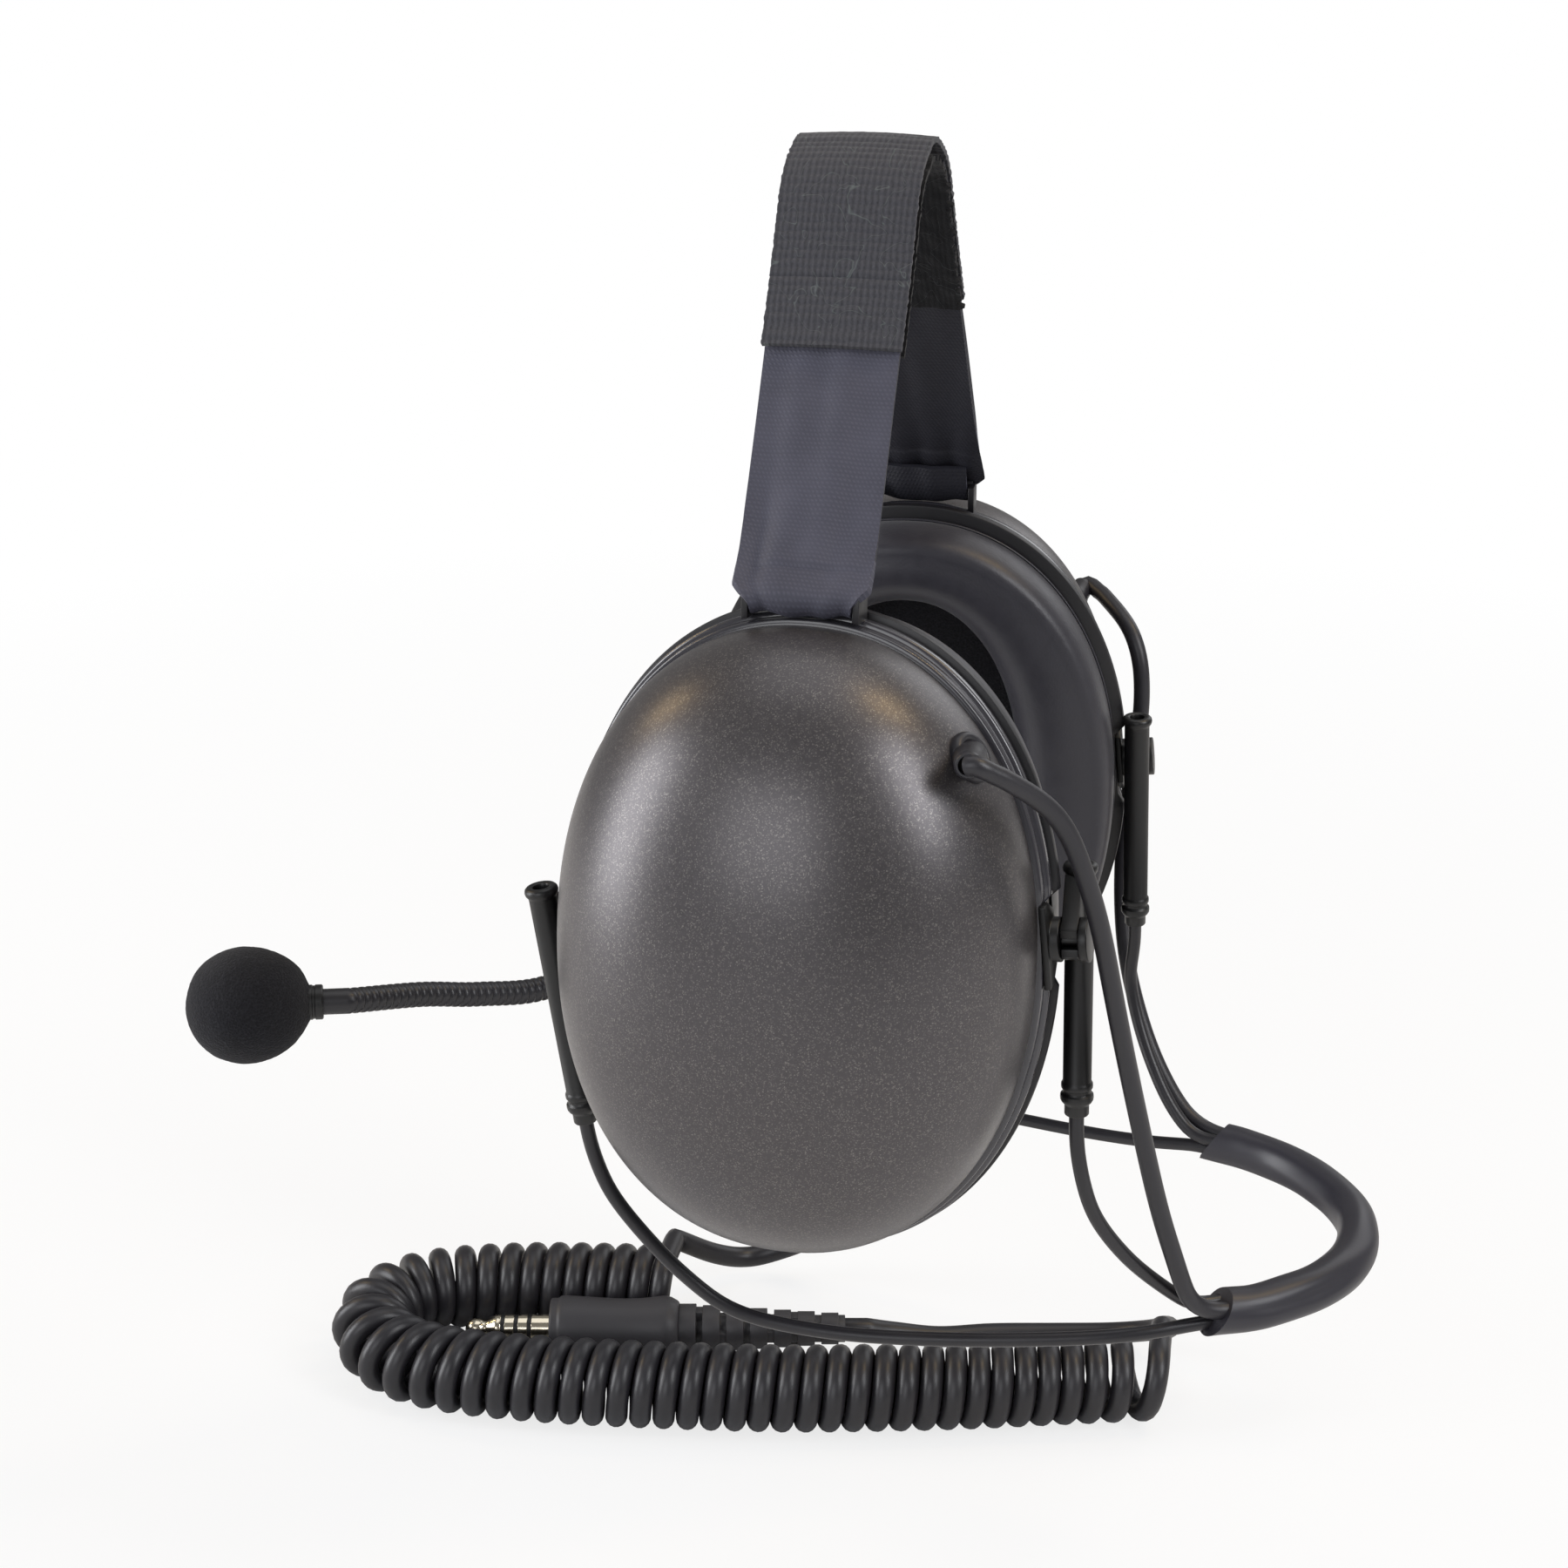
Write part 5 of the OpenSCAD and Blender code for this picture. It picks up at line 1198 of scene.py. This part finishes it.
class HEADSET_OT_boom(bpy.types.Operator):
    """Builds the boom's hub, its ribbed gooseneck, the collar and the foam windscreen"""
    bl_idname = "headset.boom"
    bl_label = "Boom microphone"

    def execute(self, context):
        neck = chosen("boom", "neck")
        foam_l, foam_d = chosen("boom", "foam_length"), chosen("boom", "foam_width")
        into = cup_frame(RIGHT)
        leave = into @ (HUB + Vector((-HUB_D / 2 - 3, HUB_T / 2, -3)))
        root = into @ (HUB + Vector((-2, HUB_T / 2, -0.7)))
        collar = MIC_MID - 15.5 * MIC_DIR
        aim = (leave - root).normalized()
        self.hub(into, root, aim, (leave - root).length, neck)
        line = [leave] + spline([leave + neck * aim] + GOOSE_ROUTE + [collar - neck * MIC_DIR], 24) + [collar]
        ribs = chosen("boom", "ribs")
        total = distances(line)[-1]
        line = even(line, total / (ribs * 8))

        def girth(s):
            groove = (0.5 + 0.5 * math.cos(math.tau * (s - neck) * ribs / total)) ** 4
            return 1 - 0.1 * groove if neck <= s <= total - neck else 1.0

        girths = [girth(s) for s in distances(line)]
        goose = tube("boom_gooseneck", line, neck, "coat", sides=20, girths=girths)
        bent(goose, "boom", "mic_head", *MIC_BEND, "wire_coat", "gooseneck")
        place = aimed(collar, MIC_DIR)
        r = neck / 2
        steps = [(r + out, h) for out, h in (
            (-0.02, 0.0), (0.75, 0.0), (1.0, 0.25), (1.0, 1.6), (0.82, 1.75), (0.82, 2.2), (1.0, 2.35), (1.0, 4.3),
            (0.8, 4.5), (0.5, 4.6), (0.5, COLLAR_L))]
        ring = turned(steps + [(1.0, COLLAR_L), (1.0, 0.6), (r - 0.02, 0.6)], 48, closed=True)
        fitted(ring, "mic_neck_collar", "nylon", place, "mic_head", "black_plastic", "mic_collar")
        for node, look in (("mic_capsule", "capsule"), ("boom_base", "abs"), ("boom_screw", "steel")):
            keep(node, look)
        self.windscreen(place, foam_l, foam_d, r)
        return {"FINISHED"}

    def hub(self, into, root, aim, length, neck):
        """A round turning hub with a recess for its screw, and an arm that grips the gooseneck."""
        r = HUB_D / 2
        disc = turned([(2.55, 0.0), (r - 0.5, 0.0), (r - 0.1, 0.2), (r, 0.7), (r, 2.6), (r - 0.25, 2.9),
                       (r - 0.25, 3.4), (r, 3.7), (r, HUB_T - 1.0), (r - 0.3, HUB_T - 0.35), (r - 0.9, HUB_T),
                       (4.9, HUB_T), (4.7, HUB_T - 0.15), (4.7, HUB_T - 0.8), (2.55, HUB_T - 0.8)], 64, closed=True)
        disc.transform(into @ shift(*HUB) @ turn(-90, "X"))
        g = neck / 2 + 0.5
        arm = turned([(0.0, 3.0), (g, 3.0), (g, length - 2.2), (g - 0.25, length - 2.0), (g - 0.25, length - 1.5),
                      (g, length - 1.3), (g, length - 0.3), (g - 0.25, length), (0.0, length)], 40)
        arm.transform(aimed(root, aim))
        joined(disc, arm)
        fitted(disc, "boom_turning_hub", "abs", Matrix.Identity(4), "boom", "black_plastic", "boom_hub")

    def windscreen(self, place, foam_l, foam_d, r):
        """A soft foam ball, a little flattened, with a socket for the capsule."""
        low = COLLAR_L - 3.6
        rows = 56
        profile = [(r + 1.15, low + 0.5)]
        for k in range(rows + 1):
            a = math.radians(-66 + 156 * k / rows)
            # It is fuller towards its tip
            full = 1 + 0.035 * math.sin(a) - 0.03 * math.cos(a) ** 2
            profile.append((foam_d / 2 * math.cos(a) * full, low + foam_l / 2 * (1 + math.sin(a))))
        profile[-1] = (0.0, low + foam_l)
        bm = turned(profile, 96)
        for v in bm.verts:
            lump = noise.noise(v.co / 7.0)
            fine = noise.noise(v.co / 1.1)
            v.co += v.normal * (0.22 * lump + 0.10 * fine)
        rims = [e for e in bm.edges if e.is_boundary]
        for v in corners_of(bmesh.ops.extrude_edge_only(bm, edges=rims)):
            v.co.z += 6.0
        facing_out(bm)
        ball = made(bm, "mic_foam_windscreen", "foam", place, sharp=80.0)
        settled(ball, "mic_head", "open_foam", "windscreen")


# ---- curly cord and plug ----

COIL_ROUTE = [
    (57, 79), (34, 71.6), (12, 64.5), (-9, 58.5), (-31, 53), (-53, 48.8), (-75, 45.2), (-95, 42.8), (-112, 42.2),
    (-125, 44.4), (-134.6, 51), (-138.4, 60.5), (-135.4, 70), (-127, 77), (-115, 82), (-102, 85.8), (-87, 89),
    (-71, 92),
]
LEAD_ROUTE = [
    (4, 79, -84), (1.5, 85, -101), (-5, 94, -119), (-14, 104, -135), (-25, 112, -149), (-37, 118, -159.8),
    (-46.5, 119.5, -166), (-55.5, 117, -168.4), (-63, 111, -165),
]
TAIL_ROUTE = [
    (-11, 91, -169.2), (0, 96, -172), (13, 101, -172.3), (29, 105, -172.3), (42, 106.5, -171.2), (51.5, 104, -167.6),
    (57.5, 97.5, -161.8),
]
GLAND = Vector((8.0, 22.0, -54.0))
GLAND_L = 12.0
PLUG_L, RELIEF_L, STEM_L = 32.5, 42.0, 21.6
PLUG_TURN = 13.4
PLUG_FACE = Vector((-95.0, 68.8, GROUND + 8.2))
PLUG_AXIS = Vector((math.cos(math.radians(PLUG_TURN)), math.sin(math.radians(PLUG_TURN)), 0.0))


# The plug's body: shares of its radius, at millimetres from its face and at shares of its length
PLUG_NOSE = [(0, 0), (0.88, 0), (0.92, 0.25), (0.93, 0.7), (0.93, 1.8), (0.945, 2.15), (0.985, 2.5), (1, 3)]
PLUG_GRIP = [(1, 0.14), (0.985, 0.22), (0.95, 0.36), (0.92, 0.48), (0.91, 0.58), (0.92, 0.7), (0.96, 0.8),
             (0.995, 0.87), (0.995, 0.9), (0.96, 0.94), (0.86, 0.985), (0.8, 1), (0, 1)]


LEANING = 14          # how many points on each side even out the lean of a curl
APART = 1.1           # how much further apart the first curl stands


def coil_points(per_turn):
    """The cord's centre through the curls, from the tail's end to the lead's."""
    curl, pitch, cord = (chosen("cord", n) for n in ("curl", "pitch", "cord"))
    middle = spline([(x, y, 0) for x, y in COIL_ROUTE], 8)
    ways = headings(middle)
    # The curls turn less sharply than their middle line does: they lean where it bends
    aims = [v.normalized() for v in softened(ways, LEANING)]
    angles, s, a = [0.0], 0.0, 0.0
    for i in range(1, len(middle)):
        step = (middle[i] - middle[i - 1]).length
        wider = 1 + APART * math.exp(-s / 5)
        bend = aims[i].angle(aims[i - 1]) / step
        a += step * 360 * ways[i].dot(aims[i]) * (1 - 0.5 * curl * bend) / (pitch * wider)
        s += step
        angles.append(a)
    count = round(angles[-1] / 360)
    scale = angles[-1] / (360 * count)
    height = GROUND + curl + cord / 2
    points = []
    for k in range(per_turn * count + 1):
        turned_by = 360 * k / per_turn
        want = turned_by * scale
        found = next((j for j, b in enumerate(angles) if b >= want), len(angles) - 1)
        i = max(0, min(len(middle) - 2, found - 1))
        share = (want - angles[i]) / (angles[i + 1] - angles[i])
        c, v = middle[i].lerp(middle[i + 1], share), aims[i].lerp(aims[i + 1], share).normalized()
        t = math.radians(turned_by)
        swing, rise = math.sin(t), math.cos(t)
        points.append(Vector((c.x - v.y * curl * swing, c.y + v.x * curl * swing, height + curl * rise)))
    return points


def cord_line():
    """The whole cord, from the gland down, back through the curls and along to the plug."""
    cord = chosen("cord", "cord")
    coil = coil_points(8)

    def level(v):
        return Vector((v.x, v.y, 0)).normalized()

    start_dir, end_dir = level(coil[1] - coil[0]), level(coil[-1] - coil[-2])
    into = cup_frame(RIGHT)
    leave = into @ (GLAND - Vector((0, 0, GLAND_L)))
    down = (into @ Vector((0, 0, -1)) - into @ Vector((0, 0, 0)))
    root = PLUG_FACE + (PLUG_L + RELIEF_L) * PLUG_AXIS
    lead = [leave] + spline([leave + cord * down] + LEAD_ROUTE + [coil[-1] + 1.9 * cord * end_dir], 8)
    tail = [root] + spline([root + cord * PLUG_AXIS] + TAIL_ROUTE + [coil[0] - 1.9 * cord * start_dir], 8)
    onto = spline([lead[-1], coil[-1] + cord * end_dir, coil[-1]], 4)
    off = spline([coil[0], coil[0] - cord * start_dir, tail[-1]], 4)
    return lead[:-1] + onto[:-1] + coil_points(28)[::-1] + off[1:-1] + tail[::-1]


class HEADSET_OT_cord(bpy.types.Operator):
    """Builds the gland, the curly cord and the plug on its end"""
    bl_idname = "headset.cord"
    bl_label = "Curly cord and plug"

    def execute(self, context):
        cord = chosen("cord", "cord")
        line = cord_line()
        whole = tube("curly_cord", line, cord, "cord", sides=16)
        plug = self.plug(cord)
        settled(whole, "right_cup", "cord_jacket", "cord_lead", "cord_curls", "cord_tail")
        gland = from_frame("cord_gland", "cord_strain_gland", "cord", edge=0.2)
        settled(gland, "right_cup", "cord_jacket", "cord_gland")
        return {"FINISHED"}

    def plug(self, cord):
        """The moulded body, the slotted relief and the plated contacts."""
        place = shift(*PLUG_FACE) @ turn(PLUG_TURN, "Z") @ turn(90, "Y")
        r = chosen("cord", "plug") / 2
        profile = [(r * wide, h) for wide, h in PLUG_NOSE] + [(r * wide, PLUG_L * share) for wide, share in PLUG_GRIP]
        body = fitted(turned(profile, 72), "plug_moulded_body", "plug", place, "right_cup", "black_plastic",
                      "plug_body", sharp=50.0)
        relief = from_frame("plug_relief", "plug_slotted_relief", "plug", edge=0.25)
        return [body, settled(relief, "right_cup", "cord_jacket", "plug_relief"), *self.contacts(place)]

    def contacts(self, place):
        """Sleeve, two rings and tip, with an insulator after each of the first three."""
        r = chosen("cord", "stem") / 2
        sleeve, ring, gap = STEM_L * 0.22, STEM_L * 0.11, 1.0
        stops = [0.0, sleeve, sleeve + gap, sleeve + gap + ring, sleeve + 2 * gap + ring, sleeve + 2 * gap + 2 * ring,
                 sleeve + 3 * gap + 2 * ring]
        made_pieces = []

        def band(low, high, recess):
            return turned([(1.35, -low), (r - recess - 0.08, -low), (r - recess, -low - 0.1),
                           (r - recess, -high + 0.1), (r - recess - 0.08, -high), (1.35, -high)], 48, closed=True)

        for name, spans, look, slot, node, recess in (
                ("plug_sleeve_contact", [(0, 1)], "plated", "contact_metal", "plug_sleeve", 0.0),
                ("plug_ring_contacts", [(2, 3), (4, 5)], "plated", "contact_metal", "plug_rings", 0.0),
                ("plug_insulator_rings", [(1, 2), (3, 4), (5, 6)], "nylon", "insulator", "plug_insulators", 0.03)):
            whole = bmesh.new()
            for first, last in spans:
                joined(whole, band(stops[first], stops[last], recess))
            made_pieces.append(fitted(whole, name, look, place, "right_cup", slot, node))
        tip = STEM_L - stops[6]
        low = -stops[6]
        profile = [(0.0, 0.0), (1.3, 0.0), (1.3, low), (r - 0.08, low), (r, low - 0.1), (r, low - tip * 0.13),
                   (r - 0.1, low - tip * 0.16), (r * 0.72, low - tip * 0.32), (r * 0.6, low - tip * 0.4),
                   (r * 0.58, low - tip * 0.44)]
        for k in range(10):
            a = math.radians(40 - 13 * k)
            profile.append((2 * r * 0.37 * math.cos(a), low - tip * 0.68 + tip * 0.32 * math.sin(a)))
        profile.append((0.0, low - tip))
        made_pieces.append(fitted(turned(profile, 56), "plug_tip_contact", "plated", place, "right_cup",
                                  "contact_metal", "plug_tip", sharp=45.0))
        return made_pieces


# ---- studio ----

WHITE = (1.0, 1.0, 1.0, 1.0)


class HEADSET_OT_studio(bpy.types.Operator):
    """Sets the camera, the floor and the soft light"""
    bl_idname = "headset.studio"
    bl_label = "Studio"

    def execute(self, context):
        scene = context.scene
        camera = bpy.data.cameras.new("camera")
        camera.lens, camera.sensor_width, camera.clip_end = scene.headset_studio.lens, 36.0, 100.0
        eye = bpy.data.objects.new("camera", camera)
        eye.location = (0.095, -0.474, 0.193)
        eye.rotation_euler = (math.radians(90 - 20.4), 0.0, math.radians(13.4))
        scene.collection.objects.link(eye)
        scene.camera = eye
        self.floor(scene)
        self.sky(scene)
        white, amber = (0.96, 0.97, 1.0), (1.0, 0.72, 0.36)
        for name, spot, colour, wide, high, power in (
                ("window_left", (-1.3, -0.36, 0.3), white, 0.6, 1.0, 15.0),
                ("window_right", (1.0, -0.35, 0.75), white, 0.4, 0.8, 9.0),
                ("front_fill", (-0.3, -1.5, 0.6), white, 0.9, 0.9, 7.0),
                ("ceiling", (0.0, 0.3, 1.5), white, 1.2, 1.2, 5.0),
                ("warm_right", (0.6, 0.23, 1.1), amber, 0.12, 0.4, 2.6),
                ("warm_left", (-1.1, 0.26, 0.75), amber, 0.12, 0.35, 1.8),
                ("behind", (0.6, 1.2, 0.6), white, 0.8, 0.8, 3.0)):
            lamp = bpy.data.lights.new(name, "AREA")
            lamp.shape, lamp.size, lamp.size_y, lamp.energy = "RECTANGLE", wide, high, power
            lamp.color = colour
            lit = bpy.data.objects.new(name, lamp)
            lit.location = spot
            lit.rotation_euler = (-Vector(spot)).to_track_quat("-Z", "Y").to_euler()
            scene.collection.objects.link(lit)
        scene.view_settings.view_transform = "Standard"
        return {"FINISHED"}

    def floor(self, scene):
        """A wide pale floor under the cord, which keeps a soft shadow."""
        bm = bmesh.new()
        bmesh.ops.create_grid(bm, x_segments=2, y_segments=2, size=30.0)
        bmesh.ops.translate(bm, vec=(0, 0, GROUND * MM - 0.0002), verts=bm.verts[:])
        mesh = ended(bm, "studio_floor")
        material, tree = started("white_paper")
        paper = add(tree, "BsdfDiffuse", {"Color": chosen("studio", "floor")})
        glow = add(tree, "Emission", {"Color": WHITE, "Strength": 1.0})
        path, place = add(tree, "LightPath", {}), add(tree, "TexCoord", {})
        # Far from the headset the paper glows fully, so that it runs into the sky
        away = add(tree, "VectorMath", {"operation": "LENGTH", 0: (place, "Object")})
        glowing = add(tree, "MapRange", {"From Min": 0.25, "From Max": 0.9, "To Min": 0.78, "To Max": 1.0,
                                         "Value": (away, "Value")})
        share = add(tree, "Math", {"operation": "MULTIPLY", 0: (path, "Is Camera Ray"), 1: glowing})
        mixed = add(tree, "MixShader", {0: share, 1: paper, 2: glow})
        add(tree, "OutputMaterial", {"Surface": mixed})
        mesh.materials.append(material)
        floor = bpy.data.objects.new("studio_floor", mesh)
        scene.collection.objects.link(floor)

    def sky(self, scene):
        """An even sky, full white where the camera sees it and dimmer where it lights a piece."""
        world = bpy.data.worlds.new("studio_sky")
        world.use_nodes = True
        tree = world.node_tree
        tree.nodes.clear()
        path = add(tree, "LightPath", {})
        seen = add(tree, "Math", {"operation": "MAXIMUM", 0: (path, "Is Camera Ray"),
                                  1: (path, "Is Transmission Ray")})
        even_light = add(tree, "Background", {"Color": WHITE, "Strength": scene.headset_studio.sky})
        white = add(tree, "Background", {"Color": WHITE, "Strength": 1.0})
        mixed = add(tree, "MixShader", {0: seen, 1: even_light, 2: white})
        add(tree, "OutputWorld", {"Surface": mixed})
        scene.world = world


OPERATORS = (
    HEADSET_OT_studio, HEADSET_OT_cord, HEADSET_OT_cups, HEADSET_OT_cushions, HEADSET_OT_insides, HEADSET_OT_pivots,
    HEADSET_OT_neckband, HEADSET_OT_strap, HEADSET_OT_boom,
)


class HEADSET_PT_panel(bpy.types.Panel):
    """Lists the headset's pieces and their settings"""
    bl_label = "Headset"
    bl_idname = "HEADSET_PT_panel"
    bl_space_type = "VIEW_3D"
    bl_region_type = "UI"
    bl_category = "Headset"

    def draw(self, context):
        for name, group in SETTINGS.items():
            box = self.layout.box()
            for prop in group.__annotations__:
                box.prop(getattr(context.scene, name), prop)
        for operator in OPERATORS:
            self.layout.operator(operator.bl_idname)


CLASSES = (*SETTINGS.values(), *OPERATORS, HEADSET_PT_panel)


def register():
    for cls in CLASSES:
        bpy.utils.register_class(cls)
    for name, group in SETTINGS.items():
        setattr(bpy.types.Scene, name, bpy.props.PointerProperty(type=group))


def unregister():
    for name in SETTINGS:
        delattr(bpy.types.Scene, name)
    for cls in reversed(CLASSES):
        bpy.utils.unregister_class(cls)


def main():
    register()
    for operator in OPERATORS:
        group, name = operator.bl_idname.split(".")
        getattr(getattr(bpy.ops, group), name)()


if __name__ == "__main__":
    main()
